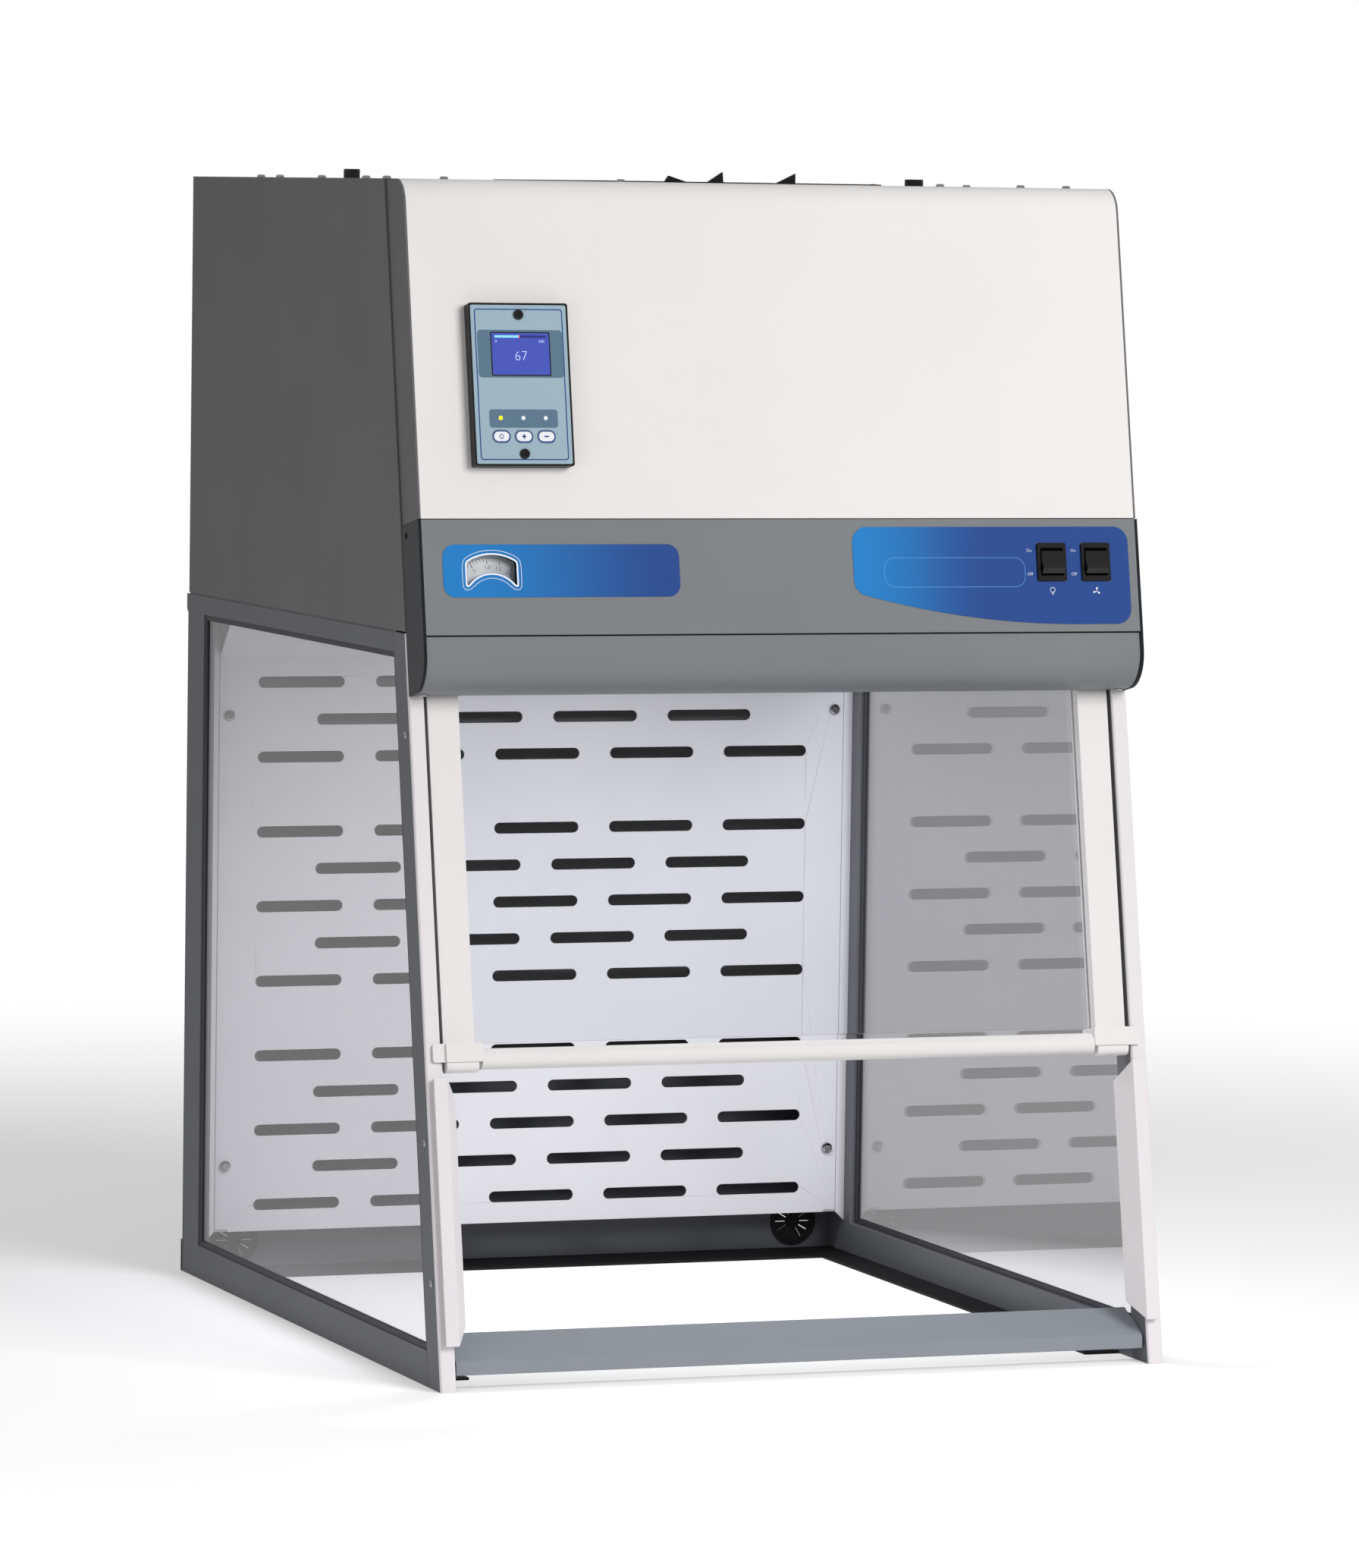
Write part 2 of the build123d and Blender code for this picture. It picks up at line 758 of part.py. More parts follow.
def sash_bracket():
    """Moulded corner of the sash: block, ear over the post, knuckle below and a side glide."""
    face_out = stile_out
    face_in = stile_in - bracket_over
    body = slab(-face_out, -face_in, bracket_bottom_u, bracket_top_u, stile_back_n, bracket_face_n)
    body = fillet(body.edges().filter_by(out_of_slope), 1.0)
    ear = slab(-face_out - ear_reach, -face_out + 3, bracket_bottom_u, bracket_top_u,
               ear_clear, ear_face_n)
    ear = fillet(ear.edges().filter_by(out_of_slope).sort_by(Axis.X)[:2], ear_round)
    glide_n = stile_back_n + glide_back
    glide = slab(-inner + glide_gap, -face_out + 1, bracket_bottom_u + 1, bracket_top_u - 1,
                 glide_n, glide_n + glide_thick)
    low = bracket_bottom_u - knuckle_drop
    face_n = bracket_face_n - knuckle_back
    back_n = face_n - handle_thick
    section = [
        (back_n, bracket_bottom_u + 1),
        (face_n, bracket_bottom_u + 1),
        (face_n, low),
        (back_n, low),
    ]
    rounds = ((2, knuckle_rounds[0]), (3, knuckle_rounds[1]))
    knuckle = slope_section(section, -face_out + 0.6, -face_in - 3, rounds)
    return body + ear + glide + knuckle


def sash_handle():
    """Rounded lifting rail along the bottom of the sash."""
    reach = stile_in - bracket_over
    back = handle_face_n - handle_thick
    top = handle_bottom_u + handle_high
    section = [
        (back, handle_bottom_u),
        (handle_face_n, handle_bottom_u),
        (handle_face_n, top),
        (back, top),
    ]
    rounds = (
        (0, handle_rear_round),
        (1, handle_high * 0.48),
        (2, handle_high * 0.46),
        (3, handle_rear_round),
    )
    return slope_section(section, -reach, reach, rounds)


def cabinet_side():
    """Side sheet of the upper cabinet with a welded ledge for the filter."""
    outline = [
        (slope_y(cabinet_floor_z), cabinet_floor_z),
        (rear_y, cabinet_floor_z),
        (rear_y, cabinet_top_z),
        (slope_y(cabinet_top_z), cabinet_top_z),
    ]
    side = along_x(outline, -half, -wall_in)
    x_weld = -wall_in - 0.5
    side += block(x_weld, -wall_in + ledge_wide, filter_front, back_in, ledge_z - ledge_thick, ledge_z)
    return side + block(x_weld, -wall_in + ledge_thick, filter_front, back_in,
                        ledge_z - ledge_web_high, ledge_z)


def cabinet_top():
    """Roof sheet with the exhaust opening."""
    roof = block(-wall_in, wall_in, slope_y(cabinet_top_z), back_in, cabinet_roof_z, cabinet_top_z)
    y = exhaust_y
    return roof - block(exhaust_x - exhaust_wide / 2, exhaust_x + exhaust_wide / 2,
                        y - exhaust_deep / 2, y + exhaust_deep / 2, cabinet_roof_z - 1, cabinet_top_z + 1)


def cabinet_back():
    """Rear sheet of the upper cabinet with the hole for the power inlet."""
    wall = block(-wall_in, wall_in, back_in, rear_y, cabinet_floor_z, cabinet_top_z)
    hole_x = power_wide / 2 - power_lap
    hole_z = power_high / 2 - power_lap + 1.0
    return wall - block(power_x - hole_x, power_x + hole_x, back_in - 1, rear_y + 1,
                        power_z - hole_z, power_z + hole_z)


def plenum_floor():
    """Ceiling of the chamber, open above the rear duct and below the lamps."""
    reach = half - floor_inset
    front = slope_y(frame_height, pocket_back_n)
    deck = block(-reach, reach, front, back_in, frame_height, cabinet_floor_z)
    deck -= block(-duct_half, duct_half, rear_y - duct_front_gap, rear_y - duct_rear_gap,
                  frame_height - 1, cabinet_floor_z + 1)
    lamp_front, lamp_rear = from_toe(lamp_bay_front_y), from_toe(lamp_bay_rear_y)
    return deck - block(-lamp_bay_half, lamp_bay_half, lamp_front, lamp_rear,
                        frame_height - 1, cabinet_floor_z + 1)


def sash_pocket_wall():
    """Leaning sheet that closes the filter housing behind the raised sash."""
    back_n = pocket_back_n - sheet
    outline = [
        (slope_y(cabinet_floor_z, pocket_back_n), cabinet_floor_z),
        (slope_y(cabinet_floor_z, back_n), cabinet_floor_z),
        (slope_y(cabinet_roof_z, back_n), cabinet_roof_z),
        (slope_y(cabinet_roof_z, pocket_back_n), cabinet_roof_z),
    ]
    return along_x(outline, -wall_in, wall_in)


def cover_outline(inset):
    """Front and top line of the cover, in y and z, drawn in by inset, and its corner."""
    n = fascia_out - inset
    z = cabinet_top_z - inset
    low = (toe_y + cover_bottom_u * sin_l - n * cos_l, cover_bottom_u * cos_l + n * sin_l)
    return low, (slope_y(z, n), z), (slope_y(cabinet_top_z), z)


def rounded_along_x(points, x0, x1, rounds):
    """Outline in y and z with rounded corners, carried across from x0 to x1."""
    sketch = make_face(Polyline(*points, close=True))
    for corner, radius in rounds:
        near = sketch.vertices().sort_by_distance((*corner, 0))[0]
        sketch = fillet(near, radius)
    return extrude(Plane.YZ.offset(min(x0, x1)) * sketch, amount=abs(x1 - x0))


def front_cover():
    """White front sheet, bent over the top edge and folded in along the bottom."""
    low, corner, back = cover_outline(0)
    low_in, corner_in, back_in_point = cover_outline(cover_thick)
    points = [low, corner, back, back_in_point, corner_in, low_in]
    rounds = ((corner, cover_round), (corner_in, cover_round - cover_thick))
    cover = rounded_along_x(points, -fascia_half, fascia_half, rounds)
    return cover + slab(-fascia_half, fascia_half, cover_bottom_u, cover_bottom_u + cover_thick,
                        fascia_out - cover_return, fascia_out - cover_thick / 2)


def cover_cheek():
    """Grey end sheet of the front cover, lapped inside the cabinet side."""
    low, corner, back = cover_outline(0)
    lap_y = cheek_lap / cos_l
    low_back_z = low[1] - (fascia_out + cheek_lap) * sin_l
    points = [
        low,
        corner,
        back,
        (back[0], cabinet_roof_z),
        (back[0] + lap_y, cabinet_roof_z),
        (slope_y(low_back_z, -cheek_lap), low_back_z),
    ]
    return rounded_along_x(points, -fascia_half - cheek_thick, -fascia_half, ((corner, cover_round),))


def window_sketch(grow=0.0):
    """Arched gauge window between two arcs about the needle's pivot, in x and u."""
    ring = Circle(window_out_r + grow) - Circle(window_in_r - grow)
    band = Pos(0, (window_out_r + window_low_u - gauge_u) / 2) * Rectangle(
        2 * (window_half + grow), window_out_r - window_low_u + gauge_u + 2 * grow)
    return Pos(gauge_x, gauge_u) * (ring & band)


def control_panel():
    """Folded panel for the gauge and switches."""
    back = control_face_n - control_thick
    top = control_top_u
    panel = slab(-fascia_half, fascia_half, control_bottom_u, top, back, control_face_n)
    flange_n = control_face_n - control_return
    for u in (control_bottom_u, top - control_thick):
        panel += slab(-fascia_half, fascia_half, u, u + control_thick, flange_n, control_face_n - 0.5)
    panel -= on_slope(window_sketch(opening_lap), back - 1, control_thick + 2)
    for x in switch_x:
        hole_x = bezel_wide / 2 - opening_lap
        hole_u = bezel_high / 2 - opening_lap
        panel -= slab(x - hole_x, x + hole_x, switch_u - hole_u, switch_u + hole_u,
                      back - 1, control_face_n + 1)
    return panel


def bumper():
    """Hollow rail under the control panel with a rounded lower front edge."""
    def outline(inset):
        return [
            (bumper_rear_n + inset, bumper_bottom_u + inset),
            (bumper_face_n - inset, bumper_bottom_u + inset),
            (bumper_face_n - inset, bumper_top_u - inset),
            (bumper_rear_n + inset, bumper_top_u - inset),
        ]
    shell = slope_section(outline(0), -fascia_half, fascia_half, ((1, bumper_round),))
    return shell - slope_section(outline(bumper_wall), -fascia_half - 1, fascia_half + 1,
                                 ((1, bumper_round - bumper_wall),))


def end_cap():
    """Dark end plate of the control panel and bumper."""
    points = [
        (0, bumper_bottom_u - end_cap_over),
        (bumper_face_n + end_cap_over, bumper_bottom_u - end_cap_over),
        (control_face_n, control_bottom_u),
        (control_face_n, control_top_u),
        (0, control_top_u),
    ]
    return slope_section(points, -fascia_half - end_cap_thick, -fascia_half, ((1, bumper_round),))


def gauge_label():
    """Thin overlay round the gauge window."""
    middle = Pos(gauge_label_left + gauge_label_wide / 2, gauge_label_bottom + gauge_label_high / 2)
    outline = middle * RectangleRounded(gauge_label_wide, gauge_label_high, label_round)
    return on_slope(outline - window_sketch(), control_face_n, label_thick)


def switch_label():
    """Thin overlay round the switches, with a long curved lower edge."""
    run = switch_label_wide - switch_label_flat_run
    rise = switch_label_lift
    radius = (run**2 + rise**2) / (2 * rise)
    middle_u = switch_label_low + switch_label_high / 2
    flat_x = switch_label_left + run
    outline = Pos(switch_label_left + switch_label_wide / 2, middle_u) * Rectangle(
        switch_label_wide, switch_label_high)
    below = Pos(switch_label_left + run / 2, middle_u) * Rectangle(run, switch_label_high)
    outline -= below - Pos(flat_x, switch_label_low + radius) * Circle(radius)
    corners = [v for v in outline.vertices() if abs(v.X - flat_x) > 1]
    outline = fillet(corners, switch_label_round)
    for x in switch_x:
        hole = Rectangle(bezel_wide + 2 * label_cut_gap, bezel_high + 2 * label_cut_gap)
        outline -= Pos(x, switch_u) * hole
    return on_slope(outline, control_face_n, label_thick)


def gauge_case():
    """Round gauge body behind the panel with its dial set back from the window."""
    back = control_face_n - control_thick - gauge_case_deep
    dial_n = back + gauge_case_deep - dial_depth
    middle_u = gauge_u + gauge_case_lift
    case = slope_disc(gauge_x, middle_u, back, gauge_case_r, gauge_case_deep)
    case -= slope_disc(gauge_x, middle_u, dial_n, gauge_case_r - gauge_case_wall, dial_depth + 1)
    flange_top = control_bottom_u + control_thick + 0.3
    reach = gauge_case_r + 1
    case -= slab(gauge_x - reach, gauge_x + reach, flange_top - reach, flange_top,
                 back - 1, control_face_n)
    bore_deep = needle_pin_deep + 0.5
    bore_r = needle_pin_r + pin_clear
    return case - slope_disc(gauge_x, gauge_u, dial_n - bore_deep, bore_r, bore_deep + 1)


def gauge_needle():
    """Pointer with its pivot pin, resting at the low end of the dial."""
    dial_n = control_face_n - control_thick - dial_depth
    needle_n = dial_n + needle_lift
    pin = slope_disc(gauge_x, gauge_u, dial_n - needle_pin_deep, needle_pin_r,
                     needle_pin_deep + needle_lift + needle_thick)
    hub = slope_disc(gauge_x, gauge_u, needle_n, needle_hub_r, needle_thick)
    outline = [
        (-needle_tail, -needle_root_half),
        (0, -needle_root_half),
        (needle_long, -needle_tip_half),
        (needle_long, needle_tip_half),
        (0, needle_root_half),
        (-needle_tail, needle_root_half),
    ]
    blade = Rot(0, 0, needle_start_deg) * make_face(Polyline(*outline, close=True))
    return pin + hub + on_slope(Pos(gauge_x, gauge_u) * blade, needle_n, needle_thick)


def switch_bodies():
    """Two switch housings with raised bezels, open at the front for the rockers."""
    bodies = []
    for x in switch_x:
        bezel = slab(x - bezel_wide / 2, x + bezel_wide / 2, switch_u - bezel_high / 2,
                     switch_u + bezel_high / 2, control_face_n, control_face_n + bezel_proud)
        bezel = fillet(bezel.edges().filter_by(out_of_slope), bezel_round)
        back = control_face_n - switch_deep
        box_x = bezel_wide / 2 - bezel_lap
        box_u = bezel_high / 2 - bezel_lap
        box = slab(x - box_x, x + box_x, switch_u - box_u, switch_u + box_u, back, control_face_n + 0.5)
        body = bezel + box
        well_x = rocker_wide / 2 + rocker_clear
        well_u = rocker_high / 2 + well_margin
        well = slab(x - well_x, x + well_x, switch_u - well_u, switch_u + well_u,
                    back + switch_floor, control_face_n + bezel_proud + 1)
        bodies.append(body - well + axle_bar(x, rocker_wide / 2 + axle_lap, rocker_pin_r))
    return Compound(children=bodies)


def axle_bar(x, reach, radius):
    """Round bar across, on the rockers' axis, centred on x."""
    origin = slope_plane().from_local_coords(Vector(x, switch_u, rocker_axis_n))
    return Plane(origin=origin, z_dir=(1, 0, 0)) * Cylinder(radius, 2 * reach)


def rocker(x):
    """Rocker, pressed in at the top: two crests about a shallow dip, bored for its pin."""
    edge_u = rocker_high / 2
    upright = [
        (rocker_foot_n, -edge_u + rocker_foot_in),
        (rocker_edge_n, -edge_u),
        (rocker_crest_n, -rocker_crest_u),
        (rocker_middle_n, 0),
        (rocker_crest_n, rocker_crest_u),
        (rocker_edge_n, edge_u),
        (rocker_foot_n, edge_u - rocker_foot_in),
    ]
    tilt = math.radians(rocker_tilt_deg)
    section = []
    for n, u in upright:
        tilted_n = n * math.cos(tilt) - u * math.sin(tilt)
        tilted_u = u * math.cos(tilt) + n * math.sin(tilt)
        section.append((rocker_axis_n + tilted_n, switch_u + tilted_u))
    rounds = ((2, rocker_crest_round), (4, rocker_crest_round))
    body = slope_section(section, x - rocker_wide / 2, x + rocker_wide / 2, rounds)
    return body - axle_bar(x, rocker_wide, rocker_pin_r + pin_clear)


def button_places():
    """Middle of each monitor button, left to right."""
    return [monitor_x + (i - 1) * button_pitch for i in range(3)]


def button_outline(grow=0.0):
    """Oval of one button."""
    return SlotOverall(button_wide + 2 * grow, button_high + 2 * grow)


def monitor_case():
    """Shallow box on the cover that carries the monitor's face."""
    case = slab(monitor_x - monitor_wide / 2, monitor_x + monitor_wide / 2, monitor_u - monitor_high / 2,
                monitor_u + monitor_high / 2, fascia_out, monitor_face_n)
    case = fillet(case.edges().filter_by(out_of_slope), monitor_round)
    case -= slab(monitor_x - face_wide / 2, monitor_x + face_wide / 2, monitor_u - face_high / 2,
                 monitor_u + face_high / 2, monitor_face_n - face_thick, monitor_face_n + 1)
    for x in button_places():
        well = Pos(x, button_u) * button_outline(button_clear)
        case -= on_slope(well, monitor_face_n - face_thick - button_deep - button_travel - 0.2, 12)
    return case


def monitor_face():
    """Front plate of the monitor with openings for its buttons."""
    plate = Pos(monitor_x, monitor_u) * RectangleRounded(face_wide, face_high, face_round)
    for x in button_places():
        plate -= Pos(x, button_u) * button_outline(button_clear)
    return on_slope(plate, monitor_face_n - face_thick, face_thick)


def monitor_button(x):
    """Oval push button that slides in its well."""
    back = monitor_face_n - face_thick - button_deep
    return on_slope(Pos(x, button_u) * button_outline(), back, monitor_face_n + button_proud - back)


def hepa_filter():
    """Filter cartridge: board frame with its pleated pack set in from both faces."""
    front = filter_front
    rear = filter_rear
    x_in = filter_half - filter_wall
    cartridge = block(-filter_half, filter_half, front, rear, ledge_z, filter_top_z)
    cartridge -= block(-x_in, x_in, front + filter_wall, rear - filter_wall,
                       ledge_z - 1, filter_top_z + 1)
    x_first = x_in + pleat_thick
    step = (2 * x_first - pleat_thick) / (2 * pleat_count)
    heights = (ledge_z + filter_recess, filter_top_z - filter_recess)
    line = [(-x_first + i * step, heights[i % 2]) for i in range(2 * pleat_count + 1)]
    other_side = [(x + pleat_thick, z) for x, z in reversed(line)]
    plane = Plane(origin=(0, rear - filter_wall, 0), x_dir=(1, 0, 0), z_dir=(0, -1, 0))
    pleats = plane * make_face(Polyline(*line, *other_side, close=True))
    return cartridge + extrude(pleats, amount=rear - front - 2 * filter_wall)


def fan_plate():
    """Deck over the filter with the inlet ring and the bridge that holds the motor."""
    y = fan_y
    front = slope_y(filter_top_z, pocket_back_n - sheet) + fan_plate_front_gap
    deck = block(-wall_in, wall_in, front, back_in, filter_top_z, fan_plate_top_z)
    deck += Pos(fan_x, y, filter_top_z) * Cylinder(
        inlet_r + inlet_ring_thick, fan_plate_thick + inlet_ring_high,
        align=(Align.CENTER, Align.CENTER, Align.MIN))
    deck -= Pos(fan_x, y, filter_top_z) * Cylinder(inlet_r, 4 * inlet_ring_high)
    bar_low = motor_z + motor_high
    bar_y0 = y - bracket_bar_wide / 2
    bar_y1 = y + bracket_bar_wide / 2
    bridge = block(fan_x - bracket_bar_half, fan_x + bracket_bar_half, bar_y0, bar_y1,
                   bar_low, bar_low + bracket_bar_thick)
    for side in (-1, 1):
        x_out = fan_x + side * bracket_bar_half
        bridge += block(x_out, x_out - side * bracket_bar_thick, bar_y0, bar_y1,
                        fan_plate_top_z - 0.5, bar_low + bracket_bar_thick)
    return deck + bridge


def impeller():
    """Backward-curved wheel: back disc, inlet shroud, blades and hub, bored for the shaft."""
    wheel = Cylinder(impeller_r, impeller_disc, align=(Align.CENTER, Align.CENTER, Align.MIN))
    wheel = Pos(0, 0, impeller_high - impeller_disc) * wheel
    shroud = extrude(Circle(impeller_r) - Circle(blade_inner_r), impeller_disc)
    hub = Pos(0, 0, impeller_high - hub_high) * Cylinder(
        hub_r, hub_high, align=(Align.CENTER, Align.CENTER, Align.MIN))
    wheel = wheel + shroud + hub
    arc_ring = Pos(blade_arc_x, blade_arc_r) * (Circle(blade_arc_r + blade_thick) - Circle(blade_arc_r))
    reach = Circle(impeller_r - 1) - Circle(blade_inner_r + 1)
    quadrant = Pos(impeller_r, impeller_r) * Rectangle(2 * impeller_r, 2 * impeller_r)
    blade = extrude(arc_ring & reach & quadrant, impeller_high - 1)
    for i in range(blade_count):
        wheel += Rot(0, 0, 360 / blade_count * i) * blade
    wheel -= Cylinder(shaft_r, 4 * impeller_high)
    return Pos(fan_x, fan_y, impeller_z) * wheel


def fan_motor():
    """Motor hung from the bridge, bored for its shaft."""
    body = Cylinder(motor_r, motor_high, align=(Align.CENTER, Align.CENTER, Align.MIN))
    body = fillet(body.edges().sort_by(Axis.Z)[0], motor_round)
    bore_deep = shaft_in_motor + bore_spare
    body -= Pos(0, 0, -1) * Cylinder(
        shaft_r + shaft_clear, bore_deep + 1, align=(Align.CENTER, Align.CENTER, Align.MIN))
    return Pos(fan_x, fan_y, motor_z) * body


def motor_shaft():
    """Shaft from the motor down into the wheel's hub."""
    low = impeller_z + impeller_high - hub_high
    high = motor_z + shaft_in_motor
    shaft = Cylinder(shaft_r, high - low, align=(Align.CENTER, Align.CENTER, Align.MIN))
    return Pos(fan_x, fan_y, low) * shaft


def lamp_fitting():
    """Folded trough over the lamp opening, with tube holders at its ends."""
    y0 = from_toe(lamp_bay_front_y - lamp_lap)
    y1 = from_toe(lamp_bay_rear_y + lamp_lap)
    x = lamp_bay_half + lamp_lap
    top = cabinet_floor_z + lamp_trough_high
    trough = block(-x, x, y0, y1, cabinet_floor_z, top)
    trough -= block(-x + lamp_sheet, x - lamp_sheet, y0 + lamp_sheet, y1 - lamp_sheet,
                    cabinet_floor_z - 1, top - lamp_sheet)
    for side in (-1, 1):
        trough += block(side * tube_half, side * (tube_half + holder_thick), tube_y[0] - holder_margin,
                        tube_y[1] + holder_margin, tube_z - holder_margin, top)
    return trough


def lamp_tubes():
    """Two straight tubes between the holders."""
    tubes = []
    for y in tube_y:
        place = Plane(origin=(-tube_half, y, tube_z), z_dir=(1, 0, 0))
        tube = Cylinder(tube_r, 2 * tube_half, align=(Align.CENTER, Align.CENTER, Align.MIN))
        tubes.append(place * tube)
    return Compound(children=tubes)


def exhaust_grille():
    """Louvred outlet frame on the roof with three pointed deflector fins."""
    y = exhaust_y
    w = exhaust_wide / 2
    d = exhaust_deep / 2
    x_bar = w - grille_rim
    top = cabinet_top_z + grille_thick
    grille = block(exhaust_x - w - grille_lip, exhaust_x + w + grille_lip, y - d - grille_lip,
                   y + d + grille_lip, cabinet_top_z, top)
    grille -= block(exhaust_x - x_bar, exhaust_x + x_bar, y - d + grille_rim, y + d - grille_rim,
                    cabinet_top_z - 1, top + 1)
    pitch = 2 * (d - grille_rim) / grille_bars
    for i in range(grille_bars):
        y_mid = y - d + grille_rim + (i + 0.5) * pitch
        grille += block(exhaust_x - x_bar - 1, exhaust_x + x_bar + 1,
                        y_mid - grille_bar_wide / 2, y_mid + grille_bar_wide / 2, cabinet_top_z, top)
    fin_y = y - d + grille_rim + 1.5 * pitch
    for x_foot, long, x_peak, high in exhaust_fins:
        foot = exhaust_x + x_foot
        outline = [(foot, 0), (foot + long, 0), (exhaust_x + x_peak, high)]
        plane = Plane(origin=(0, fin_y + fin_thick / 2, top - 0.2), x_dir=(1, 0, 0), z_dir=(0, -1, 0))
        grille += extrude(plane * make_face(Polyline(*outline, close=True)), amount=fin_thick)
    return grille


def power_inlet():
    """Recessed three-pin inlet in the rear sheet."""
    flange = block(power_x - power_wide / 2, power_x + power_wide / 2, rear_y, rear_y + power_flange,
                   power_z - power_high / 2, power_z + power_high / 2)
    cavity_w, cavity_h = power_cavity
    body_x = cavity_w / 2 + power_wall
    body_z = cavity_h / 2 + power_wall
    body = block(power_x - body_x, power_x + body_x, back_in - power_deep - 4, rear_y + 1,
                 power_z - body_z, power_z + body_z)
    inlet = flange + body
    inlet -= block(power_x - cavity_w / 2, power_x + cavity_w / 2, back_in - power_deep, rear_y + 3,
                   power_z - cavity_h / 2, power_z + cavity_h / 2)
    for dx, dz in power_pins:
        x = power_x + dx
        z = power_z + dz
        inlet += block(x - power_pin_wide / 2, x + power_pin_wide / 2,
                       back_in - power_deep - 1, rear_y - 3,
                       z - power_pin_high / 2, z + power_pin_high / 2)
    return inlet


def pan_head(place, radius, high):
    """Domed screw head with a cross recess, on a face given as a plane."""
    head = Cylinder(radius, high, align=(Align.CENTER, Align.CENTER, Align.MIN))
    head = fillet(head.edges().sort_by(Axis.Z)[-1], high * 0.7)
    arm = radius * 0.25
    reach = radius * 1.1
    cross = Box(reach, arm, high * 0.8) + Box(arm, reach, high * 0.8)
    return place * (head - Pos(0, 0, high) * cross)


def end_plane(side, x, y, z):
    """Plane on a side face, facing outwards."""
    return Plane(origin=(side * x, y, z), z_dir=(side, 0, 0))


def roof_plane(x, back):
    """Plane on the roof, at a distance behind its front edge."""
    return Plane(origin=(x, slope_y(cabinet_top_z) + back, cabinet_top_z), z_dir=(0, 0, 1))


def steel_screws():
    """Bright screws: baffle, post sides, bumper ends and roof."""
    heads = []
    for side in (-1, 1):
        for z in baffle_screw_z:
            x = side * (baffle_half - baffle_screw_inset)
            plane = Plane(origin=(x, baffle_face_y, z), z_dir=(0, -1, 0))
            heads.append(pan_head(plane, baffle_screw_r, baffle_screw_high))
        for z in post_screw_z:
            plane = end_plane(side, half, slope_y(z, -post_screw_back), z)
            heads.append(pan_head(plane, post_screw_r, post_screw_high))
        under = slope_plane().from_local_coords(
            Vector(side * (half - bumper_screw_inset), bumper_bottom_u, bumper_screw_n))
        plane = Plane(origin=under, z_dir=-slope_plane().y_dir)
        heads.append(pan_head(plane, bumper_screw_r, bumper_screw_high))
    side_x = half - roof_screw_inset
    roof_long = back_in - slope_y(cabinet_top_z) - 2 * roof_right_margin
    places = [(-side_x, back) for back in roof_left_screws]
    roof_step = roof_long / (roof_right_count - 1)
    places += [(side_x, roof_right_margin + i * roof_step) for i in range(roof_right_count)]
    places += [(inset - half, roof_front_margin) for inset in roof_front_left]
    places += [(half - inset, roof_front_margin) for inset in roof_front_right]
    heads += [pan_head(roof_plane(x, back), roof_screw_r, roof_screw_high) for x, back in places]
    return Compound(children=heads)


def black_fasteners():
    """Black screws of the monitor and end caps, and two thumb nuts on the roof."""
    heads = []
    for u in monitor_screw_u:
        plane = Plane(origin=slope_plane().from_local_coords(Vector(monitor_x, u, monitor_face_n)),
                      x_dir=(1, 0, 0), z_dir=slope_plane().z_dir)
        heads.append(pan_head(plane, monitor_screw_r, monitor_screw_high))
    place = slope_plane().from_local_coords(Vector(0, cap_screw_u, cap_screw_n))
    for side in (-1, 1):
        plane = end_plane(side, fascia_half + end_cap_thick, place.Y, place.Z)
        heads.append(pan_head(plane, cap_screw_r, cap_screw_high))
    for i, side in enumerate((-1, 1)):
        nut = Cylinder(thumb_nut_r[i], thumb_nut_high[i], align=(Align.CENTER, Align.CENTER, Align.MIN))
        nut = fillet(nut.edges().sort_by(Axis.Z)[-1], 0.8)
        heads.append(roof_plane(side * (half - thumb_nut_insets[i]), thumb_nut_back[i]) * nut)
    return Compound(children=heads)


glass, gasket = side_glazing()
pair("side_frame", side_frame())
pair("side_glass", glass)
pair("glazing_gasket", gasket)
pair("front_trim", front_trim())
pair("side_airfoil", side_airfoil())
nodes["front_sill"] = front_sill()
nodes["base_seal"] = base_seal()
nodes["back_panel"] = back_panel()
nodes["rear_top_rail"] = rear_top_rail()
nodes["cord_port_grommets"] = cord_port_grommets()
nodes["rear_baffle"] = rear_baffle()
pair("corner_trim", corner_trim())
nodes["sash_glass"] = sash_glass()
pair("sash_stile", sash_stile())
pair("sash_bracket", sash_bracket())
nodes["sash_handle"] = sash_handle()
pair("cabinet_side", cabinet_side())
nodes["cabinet_top"] = cabinet_top()
nodes["cabinet_back"] = cabinet_back()
nodes["plenum_floor"] = plenum_floor()
nodes["sash_pocket_wall"] = sash_pocket_wall()
nodes["front_cover"] = front_cover()
pair("cover_cheek", cover_cheek())
nodes["control_panel"] = control_panel()
nodes["bumper"] = bumper()
pair("end_cap", end_cap())
nodes["gauge_label"] = gauge_label()
nodes["switch_label"] = switch_label()
nodes["gauge_case"] = gauge_case()
nodes["gauge_needle"] = gauge_needle()
nodes["switch_bodies"] = switch_bodies()
nodes["light_rocker"] = rocker(switch_x[0])
nodes["blower_rocker"] = rocker(switch_x[1])
nodes["monitor_case"] = monitor_case()
nodes["monitor_face"] = monitor_face()
for button_name, button_x in zip(("enter_button", "plus_button", "minus_button"), button_places()):
    nodes[button_name] = monitor_button(button_x)
nodes["hepa_filter"] = hepa_filter()
nodes["fan_plate"] = fan_plate()
nodes["impeller"] = impeller()
nodes["fan_motor"] = fan_motor()
nodes["motor_shaft"] = motor_shaft()
nodes["lamp_fitting"] = lamp_fitting()
nodes["lamp_tubes"] = lamp_tubes()
nodes["exhaust_grille"] = exhaust_grille()
nodes["power_inlet"] = power_inlet()
nodes["steel_screws"] = steel_screws()
